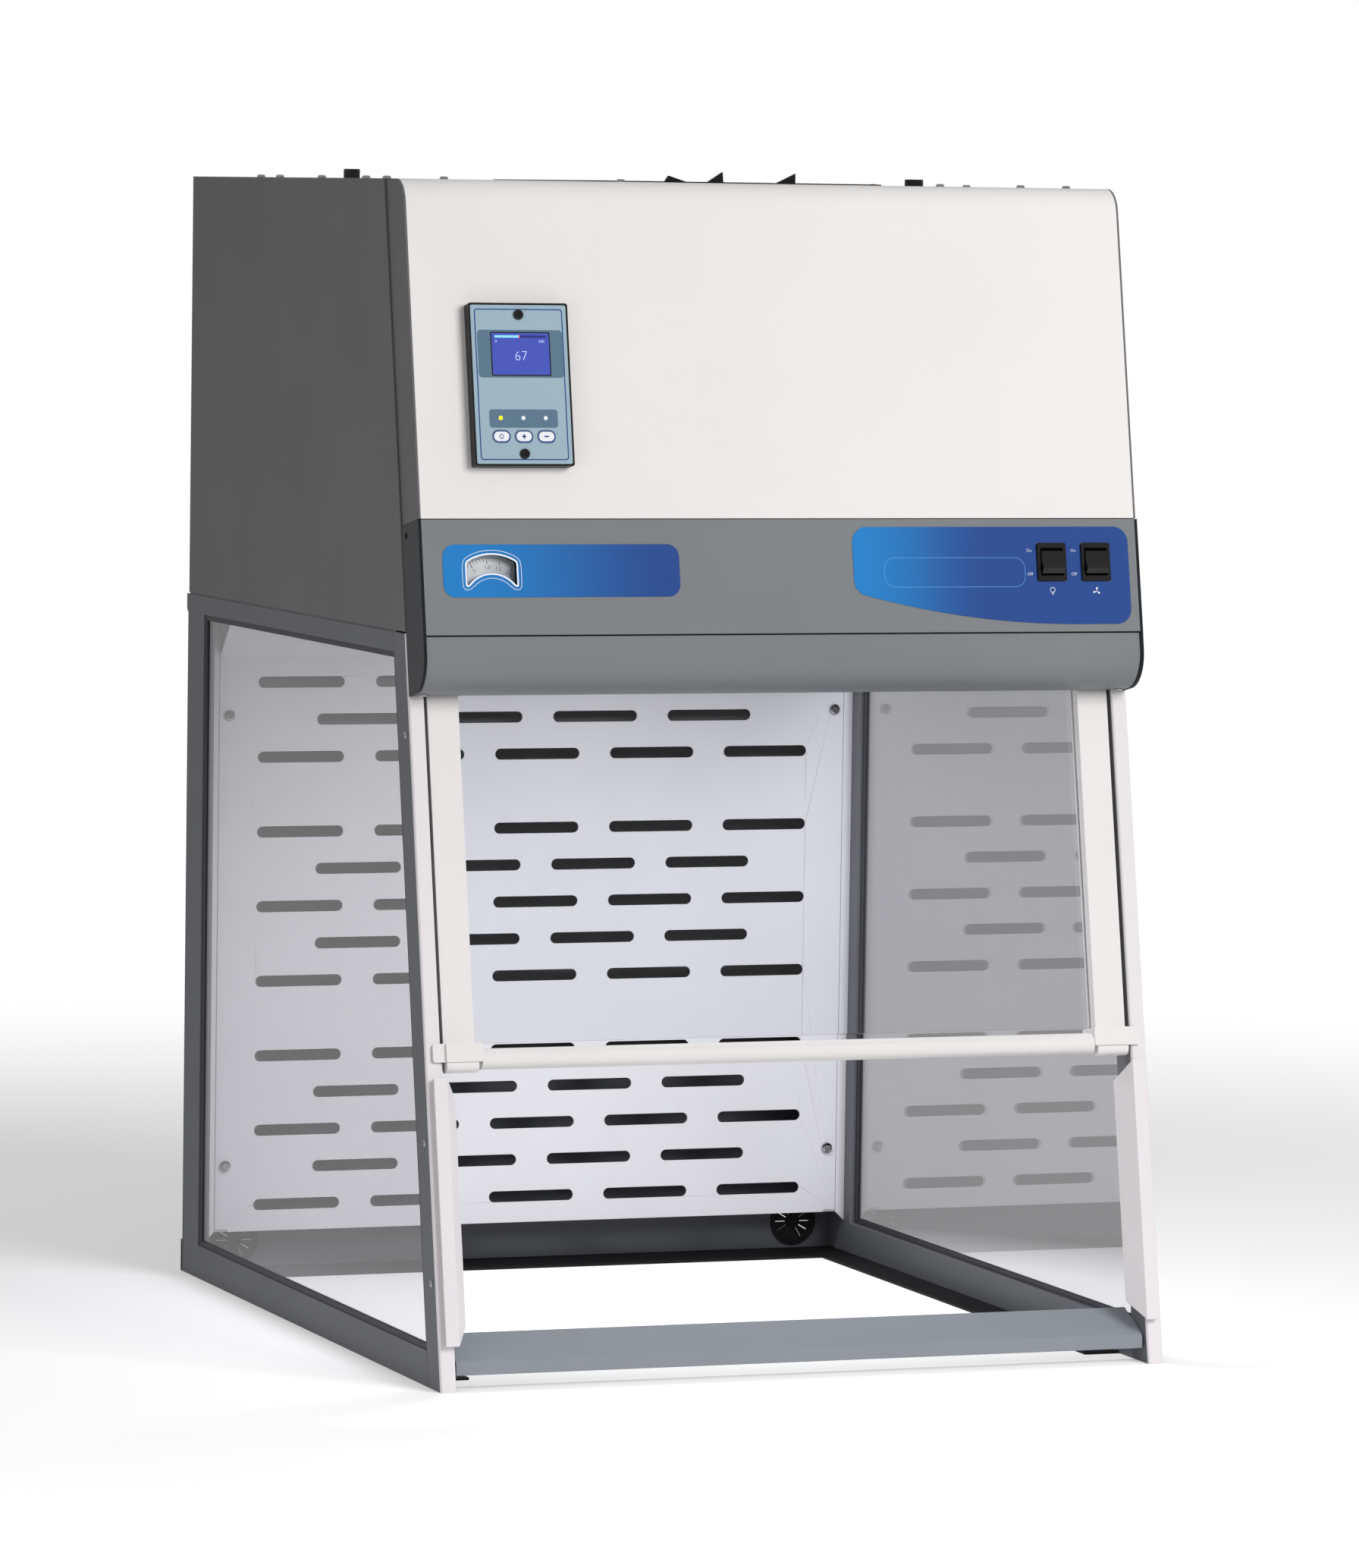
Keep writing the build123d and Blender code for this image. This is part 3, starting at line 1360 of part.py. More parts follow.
nodes["black_fasteners"] = black_fasteners()

for node_name, shape in nodes.items():
    export_step(shape, f"parts/{node_name}.step")
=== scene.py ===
import math

import bpy
import numpy as np
from bpy.props import FloatProperty, FloatVectorProperty, PointerProperty
from mathutils import Euler, Matrix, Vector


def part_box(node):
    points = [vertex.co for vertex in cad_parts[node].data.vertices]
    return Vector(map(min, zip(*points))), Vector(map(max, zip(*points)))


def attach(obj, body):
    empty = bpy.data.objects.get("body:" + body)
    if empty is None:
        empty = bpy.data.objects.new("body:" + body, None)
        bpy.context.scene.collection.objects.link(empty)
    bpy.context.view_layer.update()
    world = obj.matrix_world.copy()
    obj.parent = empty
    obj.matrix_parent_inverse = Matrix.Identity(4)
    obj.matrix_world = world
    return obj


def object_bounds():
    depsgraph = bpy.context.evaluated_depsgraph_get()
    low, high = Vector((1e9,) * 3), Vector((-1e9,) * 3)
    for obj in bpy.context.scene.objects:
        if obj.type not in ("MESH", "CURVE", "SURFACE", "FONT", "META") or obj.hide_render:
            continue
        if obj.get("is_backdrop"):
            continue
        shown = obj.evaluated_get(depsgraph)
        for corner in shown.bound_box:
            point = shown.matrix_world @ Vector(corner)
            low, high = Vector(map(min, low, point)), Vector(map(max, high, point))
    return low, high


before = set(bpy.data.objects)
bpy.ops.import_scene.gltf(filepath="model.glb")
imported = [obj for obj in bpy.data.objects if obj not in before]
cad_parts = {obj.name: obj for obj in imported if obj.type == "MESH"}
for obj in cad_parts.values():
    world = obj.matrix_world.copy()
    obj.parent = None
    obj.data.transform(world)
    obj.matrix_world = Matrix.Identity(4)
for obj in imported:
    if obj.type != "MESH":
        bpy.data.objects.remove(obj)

bl_info = {
    "name": "Balance Enclosure Finish",
    "version": (1, 0, 0),
    "blender": (4, 5, 0),
    "location": "View3D > Sidebar > Enclosure",
    "description": "Finishes, printed marks, glass and studio stage of a balance enclosure",
    "category": "Object",
}

MM = 0.001
CABINET = "cabinet"
WHITE = (1.0, 1.0, 1.0, 1.0)
CAPITAL = 0.7  # height of a capital letter as a share of the font's size


def linear(red, green, blue):
    """Scene-linear colour from 8-bit screen values, by the standard screen curve."""
    values = np.array([red, green, blue]) / 255
    low = values / 12.92
    high = ((values + 0.055) / 1.055) ** 2.4
    return tuple(np.where(values <= 0.04045, low, high))


def colour(name, description, red, green, blue):
    """A colour setting with its default given in 8-bit screen values."""
    return FloatVectorProperty(name=name, description=description, subtype="COLOR", size=3,
                               min=0.0, max=1.0, default=linear(red, green, blue))


def number(name, description, value, **limits):
    """A number setting."""
    return FloatProperty(name=name, description=description, default=value, **limits)


def length(name, description, millimetres):
    """A length setting with its default given in millimetres."""
    return number(name, description, millimetres * MM, min=0.0, unit="LENGTH", precision=5)


def place(name, description, millimetres):
    """A place setting, of either sign, with its default given in millimetres."""
    return number(name, description, millimetres * MM, unit="LENGTH", precision=5)


def spot(name, description, *metres):
    """A place setting in three axes."""
    return FloatVectorProperty(name=name, description=description, default=metres, subtype="XYZ",
                               unit="LENGTH")


class EnclosureColours(bpy.types.PropertyGroup):
    """Colours of the enclosure's finishes."""

    side_grey: colour("Side grey", "Powder coat of the housing's sides", 108, 106, 109)
    # Partly painted shade: this grey is darker than the sill's paint, to stand for the shade on the
    # frames' left faces.
    frame_grey: colour("Frame grey", "Powder coat of the side frames and rear top rail", 103, 105, 110)
    rail_grey: colour("Rail grey", "Paint of the front sill", 138, 143, 150)
    panel_grey: colour("Panel grey", "Powder coat of the control strip and bumper", 124, 128, 131)
    cover_white: colour("Cover white", "Powder coat of the front cover", 236, 233, 231)
    trim_white: colour("Trim white", "Paint of the post trims and airfoils", 231, 226, 229)
    sash_white: colour("Sash white", "Sash rail, corners and uprights", 233, 229, 228)
    baffle_white: colour("Baffle white", "Paint of the baffle, corner angles and filter", 222, 222, 226)
    # Partly painted shade: this grey paint is kept dark so that the duct behind the baffle's slots reads
    # as shade.
    wall_grey: colour("Wall grey", "Paint of the rear sheet and ceiling", 84, 86, 90)
    navy: colour("Navy", "Moulded end caps", 26, 30, 36)
    # Black of the bench seal and cord ports, also used for the painted shade of the seam lines.
    rubber: colour("Rubber", "Bench seal, cord ports and seam lines", 26, 26, 28)
    gasket_grey: colour("Gasket grey", "Glazing channels of the side panes", 62, 63, 68)
    black: colour("Black", "Switches, monitor case and fasteners", 12, 12, 13)
    label_light: colour("Label light", "Left end of the printed labels", 14, 124, 197)
    label_deep: colour("Label deep", "Right end of the printed labels", 20, 65, 138)
    print_white: colour("Print white", "White printing", 240, 242, 246)
    monitor_blue: colour("Monitor blue", "Face of the monitor", 157, 181, 194)
    monitor_slate: colour("Monitor slate", "Dark fields of the monitor", 85, 116, 137)
    monitor_line: colour("Monitor line", "Outline and key marks of the monitor", 24, 62, 132)
    screen_blue: colour("Screen blue", "Lit display", 58, 75, 176)
    screen_bar: colour("Screen bar", "Bar of the display", 126, 195, 236)
    screen_deep: colour("Screen deep", "Empty part of the display's bar", 28, 36, 110)
    screen_red: colour("Screen red", "Limit mark of the display's bar", 210, 60, 60)
    screen_pale: colour("Screen pale", "Figures of the display", 205, 222, 250)
    lamp_yellow: colour("Lamp yellow", "Lit status lamp", 250, 232, 20)
    outline_blue: colour("Outline blue", "Outline on the switch label", 96, 164, 222)
    # The dial's paper fades from white to grey towards its right end: painted shade, not print.
    dial_light: colour("Dial light", "Left part of the dial's paper", 250, 251, 253)
    dial_painted_shade: colour("Dial shade", "Right end of the dial's paper", 176, 180, 188)
    steel: colour("Steel", "Screws and fan parts", 178, 178, 181)
    pane_tint: colour("Pane tint", "What a side pane's surface lets through", 239, 239, 242)
    sash_tint: colour("Sash tint", "What the sash pane's surface lets through", 249, 250, 252)


class EnclosureSizes(bpy.types.PropertyGroup):
    """Sizes of the finishing details. Places on the leaning front run up the slope from its toe."""

    lean: number("Lean", "Lean of the front", math.radians(10.76), subtype="ANGLE", unit="ROTATION")
    sheet_edge: length("Sheet edge", "Rounding of the sheet metal's edges", 0.5)
    moulded_edge: length("Moulded edge", "Rounding of the moulded parts' edges", 0.7)
    small_edge: length("Small edge", "Rounding of the baffle, keys and switches", 0.3)
    print_thick: length("Print thickness", "Height of printed marks over their face", 0.06)
    panel_face: length("Panel face", "Control panel's face, out from the posts", 42.5)
    label_thick: length("Label thickness", "Thickness of the printed labels", 0.4)
    monitor_face: length("Monitor face", "Monitor's face, out from the posts", 51.7)
    dial_depth: length("Dial depth", "Dial behind the control panel's face", 7.0)
    dial_x: place("Dial across", "Pivot of the gauge's pointer, across", -245.9)
    dial_u: place("Dial up", "Pivot of the gauge's pointer, up the slope", 610.6)
    key_step: length("Key step", "Distance from one key of the monitor to the next", 18.6)
    key_u: place("Key up", "Row of keys, up the slope", 741.2)
    key_top: length("Key top", "Top of the keys over the monitor's face", 0.6)


class EnclosureStage(bpy.types.PropertyGroup):
    """Camera and lights."""

    camera_place: spot("Camera place", "Camera's place", -2.1934, -5.99886, 0.92784)
    camera_turn: FloatVectorProperty(name="Camera turn", description="Camera's pitch, roll and yaw",
                                     subtype="EULER", unit="ROTATION",
                                     default=tuple(map(math.radians, (85.6557, 0.8333, -20.2109))))
    lens: number("Lens", "Focal length in millimetres", 178.03)
    ambient: number("Ambient", "Strength of the all-round light", 0.34)
    key_power: number("Key", "Power of the main lamp", 78.0, unit="POWER")
    key_place: spot("Key place", "Place of the main lamp", 1.3, -2.9, 1.9)
    side_power: number("Side", "Power of the low left lamp", 4.5, unit="POWER")
    side_place: spot("Side place", "Place of the low left lamp", -1.6, -1.0, 0.5)
    chamber_power: number("Chamber", "Power of the lamp under the ceiling", 2.5, unit="POWER")
    gloss_backdrop: number("Gloss backdrop", "Tone of the surroundings where a gloss shows them", 0.5)
    pane_backdrop: number("Pane backdrop", "Tone of the far backdrop where a pane shows it", 0.38)
    floor_lift: number("Floor lift", "Light added to the pale floor", 0.35)


GROUPS = {"enclosure_colours": EnclosureColours, "enclosure_sizes": EnclosureSizes,
          "enclosure_stage": EnclosureStage}


def settings():
    """The three groups of settings: colours, sizes and stage."""
    return [getattr(bpy.context.scene, name) for name in GROUPS]


# Surfaces

def on_slope(x, u, n):
    """World points of places across (x), up the slope (u) and out of it (n).

    point = toe + x * (1, 0, 0) + u * (0, sin, cos) + n * (0, -cos, sin), all in metres.
    """
    lean = bpy.context.scene.enclosure_sizes.lean
    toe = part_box("left_front_trim")[0].y
    x, u, n = np.broadcast_arrays(x, u, n)
    y = toe + u * math.sin(lean) - n * math.cos(lean)
    z = u * math.cos(lean) + n * math.sin(lean)
    return np.stack([x, y, z], axis=-1)


def arc(centre_x, centre_u, radius, start, end, steps):
    """Points on a circle: centre + radius * (cos a, sin a), with a from start to end degrees."""
    angle = np.radians(np.linspace(start, end, steps))
    return np.stack([centre_x + radius * np.cos(angle), centre_u + radius * np.sin(angle)], axis=1)


def rounded_box(centre_x, centre_u, wide, high, radius, steps=8):
    """Rectangle outline with a quarter circle of the given radius at each corner."""
    dx, du = wide / 2 - radius, high / 2 - radius
    corners = ((dx, du, 0), (-dx, du, 90), (-dx, -du, 180), (dx, -du, 270))
    return np.concatenate([arc(centre_x + x, centre_u + u, radius, a, a + 90, steps)
                           for x, u, a in corners])


def box_mm(x, u, wide, high, radius, steps=8):
    """Rounded rectangle outline with its place and sizes in millimetres."""
    return rounded_box(x * MM, u * MM, wide * MM, high * MM, radius * MM, steps)


def disc(centre_x, centre_u, radius, steps=40):
    """Circle outline."""
    return arc(centre_x, centre_u, radius, 0, 360 - 360 / steps, steps)


def grown(outline, distance):
    """Outline moved outwards by a distance along the mean normal of its two neighbouring edges."""
    ahead = np.roll(outline, -1, axis=0) - outline
    ahead /= np.maximum(np.linalg.norm(ahead, axis=1, keepdims=True), 1e-12)
    tangent = ahead + np.roll(ahead, 1, axis=0)
    tangent /= np.maximum(np.linalg.norm(tangent, axis=1, keepdims=True), 1e-12)
    return outline + distance * np.stack([tangent[:, 1], -tangent[:, 0]], axis=1)


def evened(outline, count, rounds=0):
    """Closed outline resampled to even steps, then rounded by repeated neighbour means.

    Each round: p[i] = (p[i - 1] + 2 p[i] + p[i + 1]) / 4.
    """
    closed = np.vstack([outline, outline[:1]])
    step = np.linalg.norm(np.diff(closed, axis=0), axis=1)
    along = np.concatenate([[0], np.cumsum(step)])
    places = np.linspace(0, along[-1], count, endpoint=False)
    points = np.stack([np.interp(places, along, closed[:, axis]) for axis in (0, 1)], axis=1)
    for _ in range(rounds):
        points = (np.roll(points, 1, axis=0) + 2 * points + np.roll(points, -1, axis=0)) / 4
    return points


def loops_surface(loops, ring=False):
    """Vertices and faces of a solid made of stacked loops of points.

    Quads join loop i to loop i + 1. With ring, the last loop joins the first, and otherwise
    a flat face closes each end.
    """
    count, size = loops.shape[:2]
    index = np.arange(count * size).reshape(count, size)
    ahead = np.roll(index, -1, axis=1)
    over, over_ahead = np.roll(index, -1, axis=0), np.roll(ahead, -1, axis=0)
    quads = np.stack([index, ahead, over_ahead, over], axis=-1)
    faces = quads[:count if ring else count - 1].reshape(-1, 4).tolist()
    if not ring:
        faces += [index[0][::-1].tolist(), index[-1].tolist()]
    return loops.reshape(-1, 3), faces


def plate(outline, low, high, edge=0.0, steps=4):
    """Plate with a rounded upper edge, on the slope.

    The side rises from low to high - edge. The edge then turns in by edge * (1 - cos a)
    and up by edge * sin a, with a from 0 to 90 degrees.
    """
    turn = np.radians(np.linspace(0, 90, steps)) if edge else np.zeros(1)
    loops = [on_slope(outline[:, 0], outline[:, 1], low)]
    for a in turn:
        inset = grown(outline, -edge * (1 - math.cos(a)))
        loops.append(on_slope(inset[:, 0], inset[:, 1], high - edge * (1 - math.sin(a))))
    return loops_surface(np.stack(loops))


def band(outline, wide, low, high):
    """Flat strip of the given width along an outline, inside it, on the slope."""
    inner = grown(outline, -wide)
    loops = [on_slope(line[:, 0], line[:, 1], n) for line, n in
             ((outline, low), (outline, high), (inner, high), (inner, low))]
    return loops_surface(np.stack(loops), ring=True)


def bar(x0, x1, u0, u1, low, high):
    """Flat box on the slope."""
    return plate(np.array([(x0, u0), (x1, u0), (x1, u1), (x0, u1)]), low, high)


def turned_bar(pivot_x, pivot_u, inner, outer, degrees, wide, low, high):
    """Flat tick between two radii about a pivot, at an angle from straight up, clockwise."""
    a = math.radians(degrees)
    along = np.array([math.sin(a), math.cos(a)])
    across = np.array([math.cos(a), -math.sin(a)]) * wide / 2
    pivot = np.array([pivot_x, pivot_u])
    corners = [pivot + inner * along - across, pivot + inner * along + across,
               pivot + outer * along + across, pivot + outer * along - across]
    return plate(np.array(corners), low, high)


def arch(centre_x, centre_u, outer, inner, half, low, grow=0.0):
    """Outline between two arcs about a pivot, cut off at the sides and below.

    The outer arc runs from half to -half at radius outer + grow, and the inner one back at
    radius inner - grow, from where it meets the height low - grow.
    """
    reach, far, near, floor = half + grow, outer + grow, inner - grow, low - grow
    start = math.degrees(math.acos(reach / far))
    turn = math.degrees(math.asin(floor / near))
    top = arc(centre_x, centre_u, far, start, 180 - start, 40)
    under = arc(centre_x, centre_u, near, 180 - turn, turn, 40)
    feet = np.array([(centre_x - reach, centre_u + floor), (centre_x + reach, centre_u + floor)])
    return np.concatenate([top, feet[:1], under, feet[1:]])


def lettering(text, centre_x, centre_u, high, low, top, turn=0.0, thinned=0.012):
    """Generic figures as flat solids on the slope, centred on a place.

    They are turned clockwise by some degrees. Their strokes are thinned by a share of the size.
    """
    curve = bpy.data.curves.new("figures", "FONT")
    curve.body = text
    curve.size = 1.0
    curve.align_x = "CENTER"
    curve.align_y = "CENTER"
    curve.resolution_u = 3
    curve.extrude = 0.5
    curve.offset = -thinned
    holder = bpy.data.objects.new("figures", curve)
    made = bpy.data.meshes.new_from_object(holder)
    points = np.empty(len(made.vertices) * 3)
    made.vertices.foreach_get("co", points)
    points = points.reshape(-1, 3)
    faces = [list(face.vertices) for face in made.polygons]
    bpy.data.objects.remove(holder)
    bpy.data.meshes.remove(made)
    bpy.data.curves.remove(curve)
    scale = high / CAPITAL
    a = -math.radians(turn)
    x = centre_x + scale * (points[:, 0] * math.cos(a) - points[:, 1] * math.sin(a))
    u = centre_u + scale * (points[:, 0] * math.sin(a) + points[:, 1] * math.cos(a))
    return on_slope(x, u, low + (points[:, 2] + 0.5) * (top - low)), faces


def joined(*surfaces):
    """Several sets of vertices and faces as one."""
    points, faces, start = [], [], 0
    for some, more in surfaces:
        points.append(some)
        faces += [[start + i for i in face] for face in more]
        start += len(some)
    return np.concatenate(points), faces


def added(name, data):
    """A new object in the scene."""
    made = bpy.data.objects.new(name, data)
    bpy.context.scene.collection.objects.link(made)
    return made


def piece(name, surface, material, body=CABINET, smooth=False):
    """A new mesh object that rides on a body and takes one material."""
    points, faces = surface
    mesh = bpy.data.meshes.new(name)
    mesh.from_pydata(points.tolist(), [], faces)
    mesh.polygons.foreach_set("use_smooth", np.full(len(mesh.polygons), smooth))
    mesh.validate()
    mesh.update()
    mesh.materials.append(material)
    made = added(name, mesh)
    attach(made, body)


def soften(made, wide, segments=2, limit=35.0):
    """Rounds the sharp edges of a carried-over part by a bevel on its merged faces."""
    weld = made.modifiers.new("merge", "WELD")
    weld.merge_threshold = 0.02 * MM
    bevel = made.modifiers.new("edges", "BEVEL")
    bevel.width = wide
    bevel.segments = segments
    bevel.limit_method = "ANGLE"
    bevel.angle_limit = math.radians(limit)
    bevel.use_clamp_overlap = True
    bevel.miter_outer = "MITER_ARC"
    shade = made.modifiers.new("shade", "WEIGHTED_NORMAL")
    shade.keep_sharp = False


def finish_nodes(material, wide, *nodes, smooth=True):
    """Gives carried-over parts a material, and softened edges of some width."""
    for name in nodes:
        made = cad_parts[name]
        made.data.materials.clear()
        made.data.materials.append(material)
        made.data.polygons.foreach_set("use_smooth", np.full(len(made.data.polygons), smooth))
        if wide:
            soften(made, wide)


# Finishes

def group(name, inputs, outputs):
    """An empty shader node group with named number and colour sockets."""
    tree = bpy.data.node_groups.new(name, "ShaderNodeTree")
    for label, kind, default in inputs:
        socket = tree.interface.new_socket(label, in_out="INPUT", socket_type="NodeSocket" + kind)
        if default is not None:
            socket.default_value = default
    for label, kind in outputs:
        tree.interface.new_socket(label, in_out="OUTPUT", socket_type="NodeSocket" + kind)
    return tree, tree.nodes.new("NodeGroupInput"), tree.nodes.new("NodeGroupOutput")


def node(tree, kind, inputs=None, **values):
    """A node with its values set and its inputs linked or filled."""
    made = tree.nodes.new(kind)
    for key, value in values.items():
        setattr(made, key, value)
    for key, value in (inputs or {}).items():
        if isinstance(value, bpy.types.NodeSocket):
            tree.links.new(value, made.inputs[key])
        else:
            made.inputs[key].default_value = value
    return made


def blend(tree, operation, one, other):
    """Output of a two-value maths node."""
    return node(tree, "ShaderNodeMath", {0: one, 1: other}, operation=operation).outputs[0]


def fused(tree, one, other, base):
    """one * other + base."""
    return node(tree, "ShaderNodeMath", {0: one, 1: other, 2: base}, operation="MULTIPLY_ADD").outputs[0]


def ramp(tree, value, low, high, **values):
    """0 up to one value, and 1 beyond another."""
    return node(tree, "ShaderNodeMapRange", {"Value": value, "From Min": low, "From Max": high},
                **values).outputs[0]


def shown_rays(tree, path):
    """1 for a ray from the camera, off a gloss or through a pane, and 0 for any other."""
    first = blend(tree, "MAXIMUM", path.outputs["Is Camera Ray"], path.outputs["Is Glossy Ray"])
    return blend(tree, "MAXIMUM", first, path.outputs["Is Transmission Ray"])


def powder_grain():
    """Grain of a powder coat: fine rounded bumps, with a slow drift of tone.

    Height = noise at one grain length. Tone = 1 +/- drift from noise at a hand's width.
    """
    name = "powder_grain"
    if name in bpy.data.node_groups:
        return bpy.data.node_groups[name]
    tree, entry, leave = group(
        name,
        [("Colour", "Color", None), ("Grain", "Float", 0.9),
         ("Drift", "Float", 0.04), ("Rough", "Float", 0.5)],
        [("Colour", "Color"), ("Height", "Float"), ("Rough", "Float")])
    point = node(tree, "ShaderNodeTexCoord").outputs["Object"]
    scale = blend(tree, "DIVIDE", 1 / MM, entry.outputs["Grain"])
    fine = node(tree, "ShaderNodeTexNoise", {"Vector": point, "Scale": scale, "Detail": 3.0,
                                             "Roughness": 0.55}).outputs["Fac"]
    slow = node(tree, "ShaderNodeTexNoise", {"Vector": point, "Scale": 9.0, "Detail": 2.0})
    drift = node(tree, "ShaderNodeMapRange", {"Value": slow.outputs["Fac"], "From Min": 0.3,
                                              "From Max": 0.7, "To Min": -1.0, "To Max": 1.0})
    amount = fused(tree, drift.outputs[0], entry.outputs["Drift"], 1.0)
    tone = node(tree, "ShaderNodeVectorMath", {0: entry.outputs["Colour"], "Scale": amount},
                operation="SCALE")
    rough = fused(tree, blend(tree, "ADD", fine, -0.5), 0.12, entry.outputs["Rough"])
    tree.links.new(tone.outputs[0], leave.inputs["Colour"])
    tree.links.new(fine, leave.inputs["Height"])
    tree.links.new(rough, leave.inputs["Rough"])
    return tree


def print_fade():
    """Fade across the width: Colour = mix of two colours by (x - start) / (end - start); printed inks on
    the labels, and painted shade on the dial's paper.
    """
    name = "print_fade"
    if name in bpy.data.node_groups:
        return bpy.data.node_groups[name]
    tree, entry, leave = group(
        name,
        [("Light", "Color", None), ("Deep", "Color", None),
         ("Start", "Float", 0.0), ("End", "Float", 0.1)],
        [("Colour", "Color"), ("Height", "Float")])
    point = node(tree, "ShaderNodeTexCoord").outputs["Object"]
    across = node(tree, "ShaderNodeSeparateXYZ", {0: point})
    share = ramp(tree, across.outputs["X"], entry.outputs["Start"], entry.outputs["End"],
                 interpolation_type="SMOOTHSTEP")
    ink = node(tree, "ShaderNodeMix", {"Factor": share, 6: entry.outputs["Light"],
                                       7: entry.outputs["Deep"]}, data_type="RGBA")
    fine = node(tree, "ShaderNodeTexNoise", {"Vector": point, "Scale": 1600.0, "Detail": 2.0})
    tree.links.new(ink.outputs[2], leave.inputs["Colour"])
    tree.links.new(fine.outputs["Fac"], leave.inputs["Height"])
    return tree


def blank(name, inputs=None):
    """A new material, its node tree and its Principled shader with some inputs filled."""
    material = bpy.data.materials.new(name)
    material.use_nodes = True
    shader = material.node_tree.nodes["Principled BSDF"]
    for key, value in (inputs or {}).items():
        shader.inputs[key].default_value = value
    return material, material.node_tree, shader


def use_group(tree, group_tree, values):
    """A placed shader group with its inputs filled."""
    placed = tree.nodes.new("ShaderNodeGroup")
    placed.node_tree = group_tree
    for key, value in values.items():
        placed.inputs[key].default_value = (*value, 1.0) if hasattr(value, "__len__") else value
    return placed


def grained(name, paint, grain, drift, rough):
    """A material with the colour and roughness of the grain group, and the group's height."""
    material, tree, shader = blank(name)
    placed = use_group(tree, powder_grain(), {"Colour": paint, "Grain": grain, "Drift": drift,
                                              "Rough": rough})
    tree.links.new(placed.outputs["Colour"], shader.inputs["Base Color"])
    tree.links.new(placed.outputs["Rough"], shader.inputs["Roughness"])
    return material, tree, shader, placed.outputs["Height"]


def bumped(tree, shader, height, strength, distance):
    """Bends a shader's normal by a height."""
    made = node(tree, "ShaderNodeBump", {"Height": height, "Strength": strength, "Distance": distance})
    tree.links.new(made.outputs[0], shader.inputs["Normal"])


def powder_coat(name, paint, rough=0.5, grain=0.9, bump=0.12, drift=0.03, shine=0.5):
    """Powder coat or moulded plastic: fine grain in millimetres, slow drift of tone, satin shine."""
    material, tree, shader, height = grained(name, paint, grain, drift, rough)
    bumped(tree, shader, height, bump, 0.2 * MM)
    shader.inputs["Specular IOR Level"].default_value = shine
    return material


def printed(name, light, deep, start, end, rough=0.32):
    """Glossy film whose colour fades from one to another across the width: an ink fade between two
    printed blues on the labels, and painted shade on the dial's paper.
    """
    material, tree, shader = blank(name, {"Roughness": rough})
    placed = use_group(tree, print_fade(), {"Light": light, "Deep": deep, "Start": start, "End": end})
    tree.links.new(placed.outputs["Colour"], shader.inputs["Base Color"])
    bumped(tree, shader, placed.outputs["Height"], 0.08, 0.1 * MM)
    return material


def glass(name, tint, index=1.5, shine=0.1):
    """Clear pane with little glare: lamps and scattered light pass it unbent."""
    material, tree, shader = blank(name, {"Base Color": (*tint, 1.0), "Roughness": 0.0, "IOR": index,
                                          "Specular IOR Level": shine, "Transmission Weight": 1.0})
    path = node(tree, "ShaderNodeLightPath")
    passes = blend(tree, "MAXIMUM", path.outputs["Is Shadow Ray"], path.outputs["Is Diffuse Ray"])
    clear = node(tree, "ShaderNodeBsdfTransparent", {"Color": (*[t * 0.96 for t in tint], 1.0)})
    mix = node(tree, "ShaderNodeMixShader", {0: passes})
    tree.links.new(shader.outputs[0], mix.inputs[1])
    tree.links.new(clear.outputs[0], mix.inputs[2])
    tree.links.new(mix.outputs[0], tree.nodes["Material Output"].inputs["Surface"])
    return material


def metal(name, tint, rough=0.28):
    """Bright metal with fine turning marks."""
    material, _, shader, _ = grained(name, tint, 0.25, 0.02, rough)
    shader.inputs["Metallic"].default_value = 1.0
    return material


def lit(name, paint, strength):
    """Gloss surface with some light of its own, or none at strength 0."""
    return blank(name, {"Base Color": (*paint, 1.0), "Emission Color": (*paint, 1.0),
                        "Emission Strength": strength, "Roughness": 0.25})[0]


def plain(name, paint, rough=0.4):
    """Even ink or enamel for small marks."""
    return powder_coat(name, paint, rough=rough, grain=0.3, bump=0.02, drift=0.01)


def dress(*rows):
    """Coats parts by rows of values.

    Each row: material, colour, roughness, grain in millimetres, bump, drift, shine, edge, parts.
    """
    colours, sizes, _ = settings()
    for name, paint, rough, grain, bump, drift, shine, edge, *parts in rows:
        coat = powder_coat(name, getattr(colours, paint), rough, grain, bump, drift, shine)
        finish_nodes(coat, getattr(sizes, edge) if edge else 0, *parts)


# Operators

class ENCLOSURE_OT_housing(bpy.types.Operator):
    """Finish the upper housing, its cover, control strip and bumper"""

    bl_idname = "enclosure.housing"
    bl_label = "Finish Housing"

    def execute(self, context):
        dress(("side_powder_coat", "side_grey", 0.46, 0.9, 0.22, 0.05, 0.2, "sheet_edge",
               "left_cabinet_side", "right_cabinet_side", "cabinet_top", "cabinet_back",
               "left_cover_cheek", "right_cover_cheek"),
              ("cover_powder_coat", "cover_white", 0.42, 0.9, 0.16, 0.012, 0.5, "sheet_edge",
               "front_cover"),
              ("panel_powder_coat", "panel_grey", 0.45, 1.26, 0.35, 0.03, 0.5, "sheet_edge",
               "control_panel", "bumper"),
              ("end_cap_plastic", "navy", 0.36, 0.5, 0.05, 0.02, 0.2, "moulded_edge",
               "left_end_cap", "right_end_cap"),
              # Inner sheets in the dark wall grey, which is partly painted shade.
              ("inner_sheet", "wall_grey", 0.5, 0.9, 0.1, 0.02, 0.5, "",
               "plenum_floor", "sash_pocket_wall"))
        return {"FINISHED"}


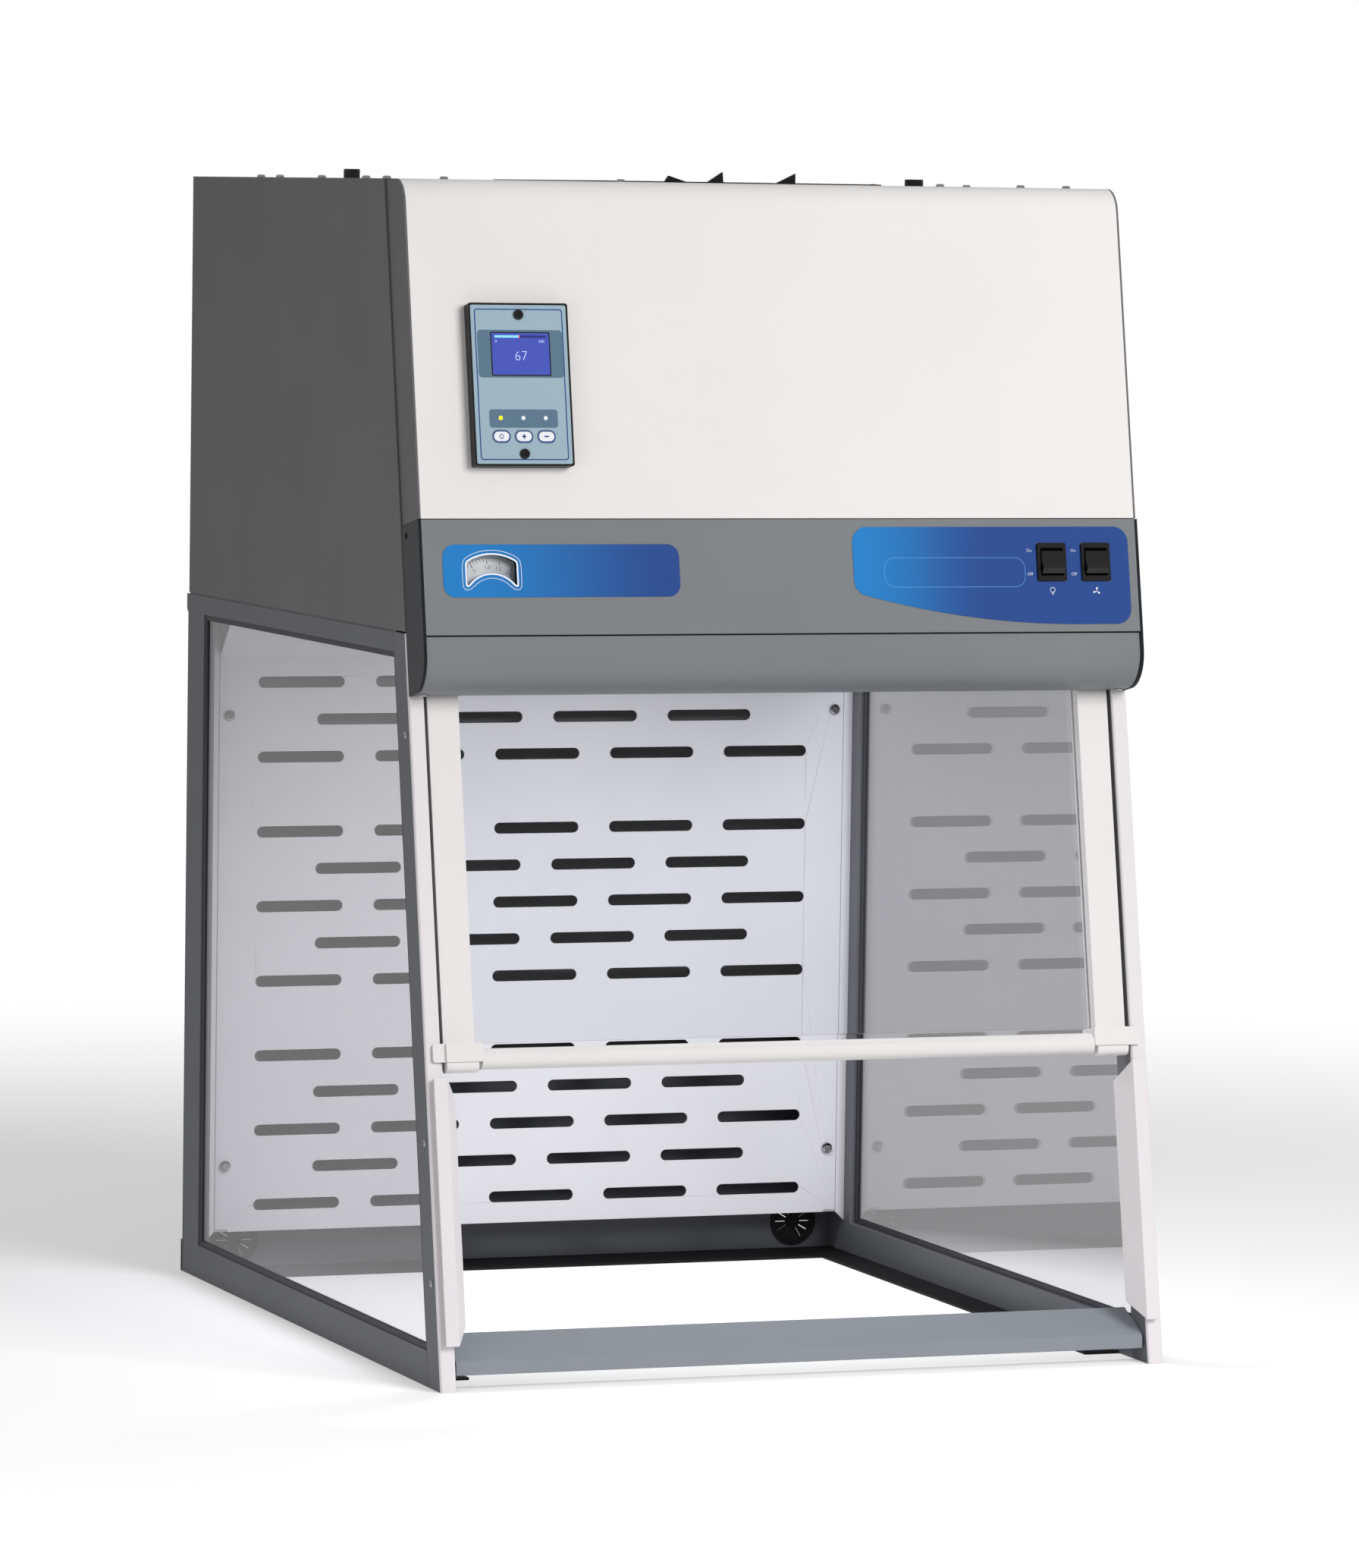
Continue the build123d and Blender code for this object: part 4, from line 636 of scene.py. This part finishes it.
class ENCLOSURE_OT_chamber(bpy.types.Operator):
    """Finish the weighing chamber's frames, rear wall, baffle, sill and seals"""

    bl_idname = "enclosure.chamber"
    bl_label = "Finish Chamber"

    def execute(self, context):
        # The frames' grey is partly painted shade, darker than the sill's grey.
        dress(("frame_powder_coat", "frame_grey", 0.45, 0.9, 0.2, 0.04, 0.25, "sheet_edge",
               "left_side_frame", "right_side_frame", "rear_top_rail"),
              ("trim_paint", "trim_white", 0.38, 0.9, 0.08, 0.015, 0.5, "sheet_edge",
               "left_front_trim", "right_front_trim", "left_side_airfoil", "right_side_airfoil"),
              ("rail_paint", "rail_grey", 0.4, 0.9, 0.12, 0.03, 0.5, "sheet_edge", "front_sill"),
              ("baffle_paint", "baffle_white", 0.36, 0.9, 0.06, 0.015, 0.5, "small_edge",
               "rear_baffle", "left_corner_trim", "right_corner_trim"),
              # Rear sheet in the dark wall grey, partly painted shade behind the baffle's slots.
              ("wall_paint", "wall_grey", 0.45, 0.9, 0.1, 0.03, 0.5, "", "back_panel"),
              ("black_rubber", "rubber", 0.7, 0.6, 0.15, 0.05, 0.35, "",
               "base_seal", "cord_port_grommets"),
              ("glazing_channel", "gasket_grey", 0.55, 0.6, 0.1, 0.03, 0.35, "",
               "left_glazing_gasket", "right_glazing_gasket"))
        colours, sizes, _ = settings()
        # Painted shade at the joins of rails and posts, as thin dark lines.
        self.seams(sizes, plain("seam_shadow", colours.rubber, 0.8))
        return {"FINISHED"}

    def seams(self, sizes, shadow):
        """Painted shade: thin dark lines where the rails meet the front posts, on both faces of each
        side frame.

        Each line runs up the slope from one height to another, at the post's rear edge.
        """
        lean, toe = sizes.lean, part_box("left_front_trim")[0].y
        low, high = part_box("left_side_frame")
        post_wide, frame_deep, half = 30.5 * MM, 13.0 * MM, 0.25 * MM
        inset, rail_high, head_high = 0.3 * MM, 28.0 * MM, 15.4 * MM
        runs = ((inset, rail_high), (high.z - head_high, high.z - inset))
        for side, outside in (("left", low.x), ("right", -low.x)):
            sign = -1 if outside < 0 else 1
            surfaces = []
            for run in runs:
                y0, y1 = (toe + z * math.tan(lean) + post_wide / math.cos(lean) for z in run)
                ring = np.array([(y0 - half, run[0]), (y0 + half, run[0]), (y1 + half, run[1]),
                                 (y1 - half, run[1])])
                for face, out in ((outside, sign), (outside - sign * frame_deep, -sign)):
                    loops = [np.column_stack([np.full(4, face + out * lift), ring])
                             for lift in (-0.05 * MM, 0.04 * MM)]
                    surfaces.append(loops_surface(np.stack(loops[::out])))
            piece(side + "_frame_seams", joined(*surfaces), shadow)


class ENCLOSURE_OT_glazing(bpy.types.Operator):
    """Glaze the side windows and the sash"""

    bl_idname = "enclosure.glazing"
    bl_label = "Glaze"

    def execute(self, context):
        colours, _, _ = settings()
        finish_nodes(glass("side_pane_glass", colours.pane_tint), 0, "left_side_glass",
                     "right_side_glass", smooth=False)
        finish_nodes(glass("sash_pane_glass", colours.sash_tint), 0, "sash_glass", smooth=False)
        return {"FINISHED"}


class ENCLOSURE_OT_sash(bpy.types.Operator):
    """Finish the sash's uprights, corners and lifting rail"""

    bl_idname = "enclosure.sash"
    bl_label = "Finish Sash"

    def execute(self, context):
        colours, sizes, _ = settings()
        white = powder_coat("sash_plastic", colours.sash_white, 0.34, 0.7, 0.05, 0.012)
        finish_nodes(white, sizes.moulded_edge, "sash_handle", "left_sash_bracket", "right_sash_bracket")
        finish_nodes(white, sizes.sheet_edge, "left_sash_stile", "right_sash_stile")
        return {"FINISHED"}


class ENCLOSURE_OT_hardware(bpy.types.Operator):
    """Finish the screws, fan, filter, lamp and other inner parts"""

    bl_idname = "enclosure.hardware"
    bl_label = "Finish Hardware"

    def execute(self, context):
        colours, _, _ = settings()
        finish_nodes(metal("bright_steel", colours.steel), 0, "steel_screws", "motor_shaft")
        finish_nodes(metal("mill_sheet", colours.steel, 0.42), 0, "fan_plate", "impeller",
                     "lamp_fitting")
        dress(("black_oxide", "black", 0.35, 0.4, 0.05, 0.03, 0.5, "",
               "black_fasteners", "fan_motor", "exhaust_grille", "power_inlet"),
              ("filter_board", "baffle_white", 0.8, 0.5, 0.3, 0.05, 0.2, "", "hepa_filter"))
        finish_nodes(lit("frosted_tube", colours.print_white, 0.0), 0, "lamp_tubes")
        return {"FINISHED"}


class ENCLOSURE_OT_gauge(bpy.types.Operator):
    """Print the gauge label and build the dial behind its window"""

    bl_idname = "enclosure.gauge"
    bl_label = "Build Gauge"

    # Window round the pointer's pivot: outer and inner radius, half width and lower height
    window = (38.4 * MM, 24.6 * MM, 20.3 * MM, 14.4 * MM)
    # Outlines round it: distance out, rounds of rounding and width
    rims = ((1.6 * MM, 24, 1.35 * MM), (4.2 * MM, 60, 0.4 * MM))
    rim_points = 240
    # Marks in degrees clockwise from straight up, with their figures
    marks = ((-25.2, ".5"), (-2.6, "1.0"), (15.0, "1.5"), (32.8, "2.0"))
    first_tick, before_first, between = -34.2, 3, 6
    # Radii of the ticks' tops, and the foot and width of a long and a short tick
    tick_top, long_tick, short_tick = 37.0 * MM, (32.4 * MM, 0.45 * MM), (34.2 * MM, 0.25 * MM)
    figure_middle, figure_high = 29.6 * MM, 3.0 * MM
    # Line over the ticks: radii, and degrees from the right where it starts
    line_inner, line_outer, line_start, line_points = 36.9 * MM, 37.2 * MM, 56.5, 40
    # shade_start and shade_end bound the painted shade across the dial's paper, measured from the pivot.
    dial_thick, dial_past, shade_start, shade_end = 0.2 * MM, 0.8 * MM, -10.0 * MM, 24.0 * MM
    lens_depth, lens_thick, lens_past, lens_tint = 2.9 * MM, 0.7 * MM, 0.4 * MM, (0.96, 0.97, 0.97)

    def execute(self, context):
        colours, sizes, _ = settings()
        low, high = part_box("gauge_label")
        label = printed("gauge_label_film", colours.label_light, colours.label_deep, low.x, high.x)
        finish_nodes(label, 0, "gauge_label")
        white = plain("white_print", colours.print_white)
        black = plain("black_ink", colours.black)
        dress(("gauge_body", "black", 0.4, 0.9, 0.12, 0.03, 0.5, "", "gauge_case", "gauge_needle"))
        x, thin = sizes.dial_x, sizes.print_thick
        dial = sizes.panel_face - sizes.dial_depth
        face = dial + self.dial_thick
        # Dial paper, white on the left and darkened by painted shade towards its right end.
        paper = printed("dial_paper", colours.dial_light, colours.dial_painted_shade, x + self.shade_start,
                        x + self.shade_end, rough=0.5)
        piece("gauge_dial", plate(self.opening(sizes, self.dial_past), dial, face), paper)
        piece("gauge_scale", self.scale(sizes, face, face + thin), black)
        lens = sizes.panel_face - self.lens_depth
        piece("gauge_lens", plate(self.opening(sizes, self.lens_past), lens, lens + self.lens_thick),
              glass("lens_clear", self.lens_tint))
        top = sizes.panel_face + sizes.label_thick
        rims = [band(evened(self.opening(sizes, out), self.rim_points, rounds), wide, top, top + thin)
                for out, rounds, wide in self.rims]
        piece("gauge_outline", joined(*rims), white)
        return {"FINISHED"}

    def opening(self, sizes, past):
        """Outline of the label's window, moved outwards."""
        return arch(sizes.dial_x, sizes.dial_u, *self.window, grow=past)

    def scale(self, sizes, low, top):
        """Ticks and figures at pivot + radius * (sin a, cos a), and the line over them."""
        x, u = sizes.dial_x, sizes.dial_u
        angles = [angle for angle, _ in self.marks]
        runs = [np.linspace(self.first_tick, angles[0], self.before_first)]
        runs += [np.linspace(start, end, self.between) for start, end in zip(angles, angles[1:])]
        shapes = []
        for angle in np.unique(np.concatenate(runs)):
            foot, wide = self.long_tick if angle in angles else self.short_tick
            shapes.append(turned_bar(x, u, foot, self.tick_top, angle, wide, low, top))
        for angle, text in self.marks:
            a = math.radians(angle)
            middle = (x + self.figure_middle * math.sin(a), u + self.figure_middle * math.cos(a))
            shapes.append(lettering(text, *middle, self.figure_high, low, top, angle))
        start, end, count = self.line_start, 180 - self.line_start, self.line_points
        line = np.concatenate([arc(x, u, self.line_outer, start, end, count),
                               arc(x, u, self.line_inner, end, start, count)])
        return joined(*shapes, plate(line, low, top))


class ENCLOSURE_OT_switches(bpy.types.Operator):
    """Print the switch label and finish the switches"""

    bl_idname = "enclosure.switches"
    bl_label = "Build Switches"

    # All in millimetres. Words and signs: place across and up the slope
    words = (("On", 208.6, 651.6), ("Off", 208.7, 632.6), ("On", 246.9, 651.5), ("Off", 246.8, 632.5))
    word_high, bulb_place, fan_place = 2.5, (227.5, 618.8), (265.7, 618.8)
    # Outline on the label: across, up the slope, wide, high and corner radius
    pill, pill_line = (144.0, 634.2, 121.2, 23.9, 9.0), 0.35
    blade = ((0.0, 0.9), (0.9, 1.5), (1.2, 2.4), (0.7, 3.1), (-0.2, 3.2), (-0.5, 2.2))

    def execute(self, context):
        colours, sizes, _ = settings()
        low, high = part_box("switch_label")
        label = printed("switch_label_film", colours.label_light, colours.label_deep, low.x,
                        (low.x + high.x) / 2)
        finish_nodes(label, 0, "switch_label")
        dress(("switch_plastic", "black", 0.3, 0.5, 0.04, 0.02, 0.5, "small_edge",
               "switch_bodies", "light_rocker", "blower_rocker"))
        white = plain("white_marks", colours.print_white)
        top = sizes.panel_face + sizes.label_thick
        span = (top, top + sizes.print_thick)
        marks = [lettering(text, x * MM, u * MM, self.word_high * MM, *span)
                 for text, x, u in self.words]
        marks += self.bulb(*self.bulb_place, span) + self.fan(*self.fan_place, span)
        piece("switch_marks", joined(*marks), white)
        pale = plain("pale_outline", colours.outline_blue)
        piece("label_outline", band(box_mm(*self.pill, steps=12), self.pill_line * MM, *span), pale)
        return {"FINISHED"}

    def bulb(self, x, u, span):
        """Lamp sign: a ring on two short bars."""
        shapes = [band(disc(x * MM, (u + 1.0) * MM, 2.2 * MM), 0.4 * MM, *span)]
        for drop in (1.9, 2.6):
            edges = (x - 0.8, x + 0.8, u - drop, u - drop + 0.4)
            shapes.append(bar(*(edge * MM for edge in edges), *span))
        return shapes

    def fan(self, x, u, span):
        """Fan sign: a hub with three rounded blades, each a third of a turn on."""
        shapes = [plate(disc(x * MM, u * MM, 0.6 * MM, 20), *span)]
        for angle in np.radians((0, 120, 240)):
            turn = np.array([(math.cos(angle), math.sin(angle)), (-math.sin(angle), math.cos(angle))])
            shapes.append(plate(evened((np.array(self.blade) @ turn + (x, u)) * MM, 24, 1), *span))
        return shapes


class ENCLOSURE_OT_monitor(bpy.types.Operator):
    """Build the airflow monitor's face, display, lamps and keys"""

    bl_idname = "enclosure.monitor"
    bl_label = "Build Monitor"

    # All in millimetres. Rounded boxes: across, up the slope, wide, high and corner radius
    outline, outline_wide = (-217.1, 782.4, 73.0, 119.6, 2.5), 0.9
    fields = ((-216.7, 806.6, 70.4, 37.8, 3.0), (-216.7, 755.4, 56.6, 14.5, 2.5))
    rim, screen = (-216.5, 806.5, 49.2, 34.8, 0.8), (-216.5, 806.5, 47.3, 33.0, 0.4)
    # Strips of the screen: name, colour, glow, left, right, low and high edge
    strips = (("screen_bar", "screen_bar", 0.5, -237.6, -217.5, 819.3, 821.2),
              ("screen_tick", "screen_red", 0.4, -217.5, -216.6, 819.0, 821.5),
              ("screen_rest", "screen_deep", 0.3, -216.6, -195.4, 819.3, 821.2))
    # Figures: text, across, up the slope, height and thinning of the strokes
    figures = (("0", -236.6, 816.4, 2.2, 0.02), ("200", -199.0, 816.4, 2.2, 0.02),
               ("67", -216.3, 804.6, 7.8, 0.03))
    # Status lamps: name, across, colour and glow, with their common place up, radius, height, edge
    status = (("first", -235.6, "lamp_yellow", 0.8), ("middle", -217.0, "print_white", 0.1),
              ("last", -198.5, "print_white", 0.1))
    status_u, status_radius, status_high, status_edge = 755.8, 1.7, 0.7, 0.6
    # Keys: body, steps from the middle, strokes of the sign (wide, high). Without strokes, a ring
    keys = (("enter_key", -1, ()), ("plus_key", 0, ((3.6, 1.1), (1.1, 3.6))),
            ("minus_key", 1, ((3.6, 1.1),)))
    key_ring, key_line, sign_radius, sign_line = (14.8, 9.8, 4.802), 1.1, 1.9, 0.6

    def execute(self, context):
        colours, sizes, _ = settings()
        dress(("monitor_case_plastic", "black", 0.4, 0.5, 0.05, 0.02, 0.5, "moulded_edge",
               "monitor_case"))
        finish_nodes(plain("monitor_face_paint", colours.monitor_blue, 0.35), 0, "monitor_face")
        key = plain("key_white", colours.print_white, 0.3)
        finish_nodes(key, sizes.small_edge, "enter_button", "plus_button", "minus_button")
        n, thin = sizes.monitor_face, sizes.print_thick
        line = plain("monitor_line", colours.monitor_line, 0.3)
        slate = plain("monitor_slate", colours.monitor_slate, 0.3)
        piece("monitor_outline", band(box_mm(*self.outline), self.outline_wide * MM, n, n + thin), line)
        fields = [plate(box_mm(*field), n, n + thin) for field in self.fields]
        piece("monitor_fields", joined(*fields), slate)
        self.display(colours, n + thin)
        self.lamps(colours, n + thin)
        self.signs(sizes, line)
        return {"FINISHED"}

    def display(self, colours, n):
        """Lit screen with a bar, its end figures and one large reading."""
        thin = 0.05 * MM
        black = plain("screen_edge", colours.black, 0.2)
        piece("screen_edge", plate(box_mm(*self.rim), n, n + thin), black)
        blue = lit("screen_light", colours.screen_blue, 0.12)
        top = n + 2 * thin
        piece("screen", plate(box_mm(*self.screen), n, top), blue)
        for name, paint, glow, *edges in self.strips:
            piece(name, bar(*(edge * MM for edge in edges), top, top + thin),
                  lit(name + "_light", getattr(colours, paint), glow))
        white = lit("screen_figures_light", colours.screen_pale, 0.6)
        figures = [lettering(text, x * MM, u * MM, high * MM, top, top + thin, thinned=thinned)
                   for text, x, u, high, thinned in self.figures]
        piece("screen_figures", joined(*figures), white)

    def lamps(self, colours, n):
        """Three round status lamps, the first one lit, each a low dome."""
        for name, x, paint, glow in self.status:
            outline = disc(x * MM, self.status_u * MM, self.status_radius * MM)
            dome = plate(outline, n, n + self.status_high * MM, self.status_edge * MM, 6)
            piece("status_lamp_" + name, dome, lit("status_" + name, getattr(colours, paint), glow),
                  smooth=True)

    def signs(self, sizes, line):
        """Ring and sign on top of each key, where the second stroke lies a little higher."""
        low, thin, u = sizes.monitor_face + sizes.key_top, sizes.print_thick, sizes.key_u
        top = low + thin
        wide, high, radius = (size * MM for size in self.key_ring)
        for body, step, strokes in self.keys:
            x = self.outline[0] * MM + step * sizes.key_step
            shapes = [band(rounded_box(x, u, wide, high, radius, 12), self.key_line * MM, low, top)]
            for rank, (across, up) in enumerate(strokes):
                dx, du = across / 2 * MM, up / 2 * MM
                shapes.append(bar(x - dx, x + dx, u - du, u + du, low, top + thin * 0.5 * rank))
            if not strokes:
                shapes.append(band(disc(x, u, self.sign_radius * MM), self.sign_line * MM, low, top))
            piece(body + "_sign", joined(*shapes), line, body)


class ENCLOSURE_OT_stage(bpy.types.Operator):
    """Set the pale floor, the soft lamps, the white surroundings and the camera"""

    bl_idname = "enclosure.stage"
    bl_label = "Set Stage"

    # Metres. Lamps are soft rectangles of these sizes
    key_size, side_size, chamber_size = (1.6, 1.6), (0.9, 0.9), (0.46, 0.1)
    chamber_y, chamber_drop = -0.02, 0.012
    # The floor's reach, and the distances over which it turns into the backdrop
    reach, behind_pane, far_floor = 30.0, (0.45, 0.62), (1.1, 2.6)
    floor_tone = (0.82, 0.82, 0.82, 1.0)
    sensor, clip = 36.0, 100.0

    def execute(self, context):
        _, _, stage = settings()
        scene = context.scene
        scene.view_settings.view_transform = "Standard"
        self.floor(stage)
        self.surroundings(stage)
        low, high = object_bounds()
        middle = (low + high) / 2
        below = middle.copy()
        below.z = low.z
        ceiling = (0.0, self.chamber_y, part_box("plenum_floor")[0].z - self.chamber_drop)
        for lamp in (("key_lamp", stage.key_place, middle, self.key_size, stage.key_power),
                     ("side_lamp", stage.side_place, middle, self.side_size, stage.side_power),
                     ("chamber_lamp", ceiling, below, self.chamber_size, stage.chamber_power)):
            self.lamp(*lamp)
        camera = added("camera", bpy.data.cameras.new("camera"))
        camera.data.lens = stage.lens
        camera.data.sensor_width = self.sensor
        camera.data.clip_end = self.clip
        pitch, roll, yaw = stage.camera_turn
        turn = Matrix.Identity(3)
        for angles in ((0, 0, yaw), (pitch, 0, 0), (0, 0, roll)):
            turn = turn @ Euler(angles).to_matrix()
        camera.matrix_world = Matrix.Translation(stage.camera_place) @ turn.to_4x4()
        scene.camera = camera
        return {"FINISHED"}

    def floor(self, stage):
        """Large flat floor: a pale diffuse surface plus a little light of its own.

        Far away, and behind a pane, its own light takes over from the surface.
        """
        corners = self.reach * np.array([(-1, -1, 0), (1, -1, 0), (1, 1, 0), (-1, 1, 0)])
        mesh = bpy.data.meshes.new("floor")
        mesh.from_pydata(corners.tolist(), [], [[0, 1, 2, 3]])
        material, tree, shader = blank("pale_floor", {"Roughness": 0.9, "Specular IOR Level": 0.0,
                                                      "Emission Color": WHITE})
        path = node(tree, "ShaderNodeLightPath")
        point = node(tree, "ShaderNodeTexCoord").outputs["Object"]
        distance = node(tree, "ShaderNodeVectorMath", {0: point}, operation="LENGTH").outputs["Value"]
        beside = ramp(tree, distance, *self.behind_pane)
        behind = blend(tree, "MULTIPLY", beside, path.outputs["Is Transmission Ray"])
        far = ramp(tree, distance, *self.far_floor, interpolation_type="SMOOTHSTEP")
        own = blend(tree, "MAXIMUM", far, behind)
        pale = node(tree, "ShaderNodeMix", {"Factor": own, 6: self.floor_tone, 7: (0.0, 0.0, 0.0, 1.0)},
                    data_type="RGBA")
        tree.links.new(pale.outputs[2], shader.inputs["Base Color"])
        lift = node(tree, "ShaderNodeMapRange", {"Value": far, "To Min": stage.floor_lift})
        gloss = fused(tree, path.outputs["Is Glossy Ray"], stage.gloss_backdrop - 1.0, 1.0)
        dimmed = blend(tree, "MULTIPLY", lift.outputs[0], gloss)
        shown = blend(tree, "MULTIPLY", dimmed, shown_rays(tree, path))
        tone = node(tree, "ShaderNodeMix", {"Factor": behind, 2: shown, 3: stage.pane_backdrop},
                    data_type="FLOAT")
        tree.links.new(tone.outputs[0], shader.inputs["Emission Strength"])
        mesh.materials.append(material)
        added("floor", mesh)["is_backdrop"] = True

    def surroundings(self, stage):
        """White for the camera, greyer off a gloss or through a pane, and softer as a light."""
        world = bpy.data.worlds.new("surroundings")
        world.use_nodes = True
        bpy.context.scene.world = world
        tree = world.node_tree
        ground = tree.nodes["Background"]
        path = node(tree, "ShaderNodeLightPath")
        seen = shown_rays(tree, path)
        gloss = fused(tree, path.outputs["Is Glossy Ray"], stage.gloss_backdrop - 1.0, 1.0)
        through = fused(tree, path.outputs["Is Transmission Ray"], stage.pane_backdrop - 1.0, gloss)
        strength = node(tree, "ShaderNodeMapRange", {"Value": seen, "To Min": stage.ambient,
                                                     "To Max": through})
        ground.inputs["Color"].default_value = WHITE
        tree.links.new(strength.outputs[0], ground.inputs["Strength"])

    def lamp(self, name, source, target, size, watts):
        """A soft lamp that faces a point of the enclosure and shows in no pane or gloss."""
        data = bpy.data.lights.new(name, "AREA")
        data.shape = "RECTANGLE"
        data.size, data.size_y = size
        data.energy = watts
        made = added(name, data)
        made.location = source
        made.rotation_euler = (target - made.location).to_track_quat("-Z", "Y").to_euler()
        made.visible_camera = False
        made.visible_glossy = False
        made.visible_transmission = False


OPERATORS = (ENCLOSURE_OT_housing, ENCLOSURE_OT_chamber, ENCLOSURE_OT_glazing, ENCLOSURE_OT_sash,
             ENCLOSURE_OT_hardware, ENCLOSURE_OT_gauge, ENCLOSURE_OT_switches, ENCLOSURE_OT_monitor,
             ENCLOSURE_OT_stage)


class ENCLOSURE_PT_finish(bpy.types.Panel):
    """Lists the steps that dress the enclosure and its settings"""

    bl_label = "Balance Enclosure"
    bl_idname = "ENCLOSURE_PT_finish"
    bl_space_type = "VIEW_3D"
    bl_region_type = "UI"
    bl_category = "Enclosure"

    def draw(self, context):
        for step in OPERATORS:
            self.layout.operator(step.bl_idname)
        for settings_group in settings():
            column = self.layout.column()
            for key in settings_group.__annotations__:
                column.prop(settings_group, key)


CLASSES = (*GROUPS.values(), *OPERATORS, ENCLOSURE_PT_finish)


def register():
    for item in CLASSES:
        bpy.utils.register_class(item)
    for name, kind in GROUPS.items():
        setattr(bpy.types.Scene, name, PointerProperty(type=kind))


def unregister():
    for name in GROUPS:
        delattr(bpy.types.Scene, name)
    for item in reversed(CLASSES):
        bpy.utils.unregister_class(item)


def main():
    """Dresses the enclosure, step by step."""
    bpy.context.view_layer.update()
    register()
    for step in OPERATORS:
        area, name = step.bl_idname.split(".")
        getattr(getattr(bpy.ops, area), name)()


if __name__ == "__main__":
    main()
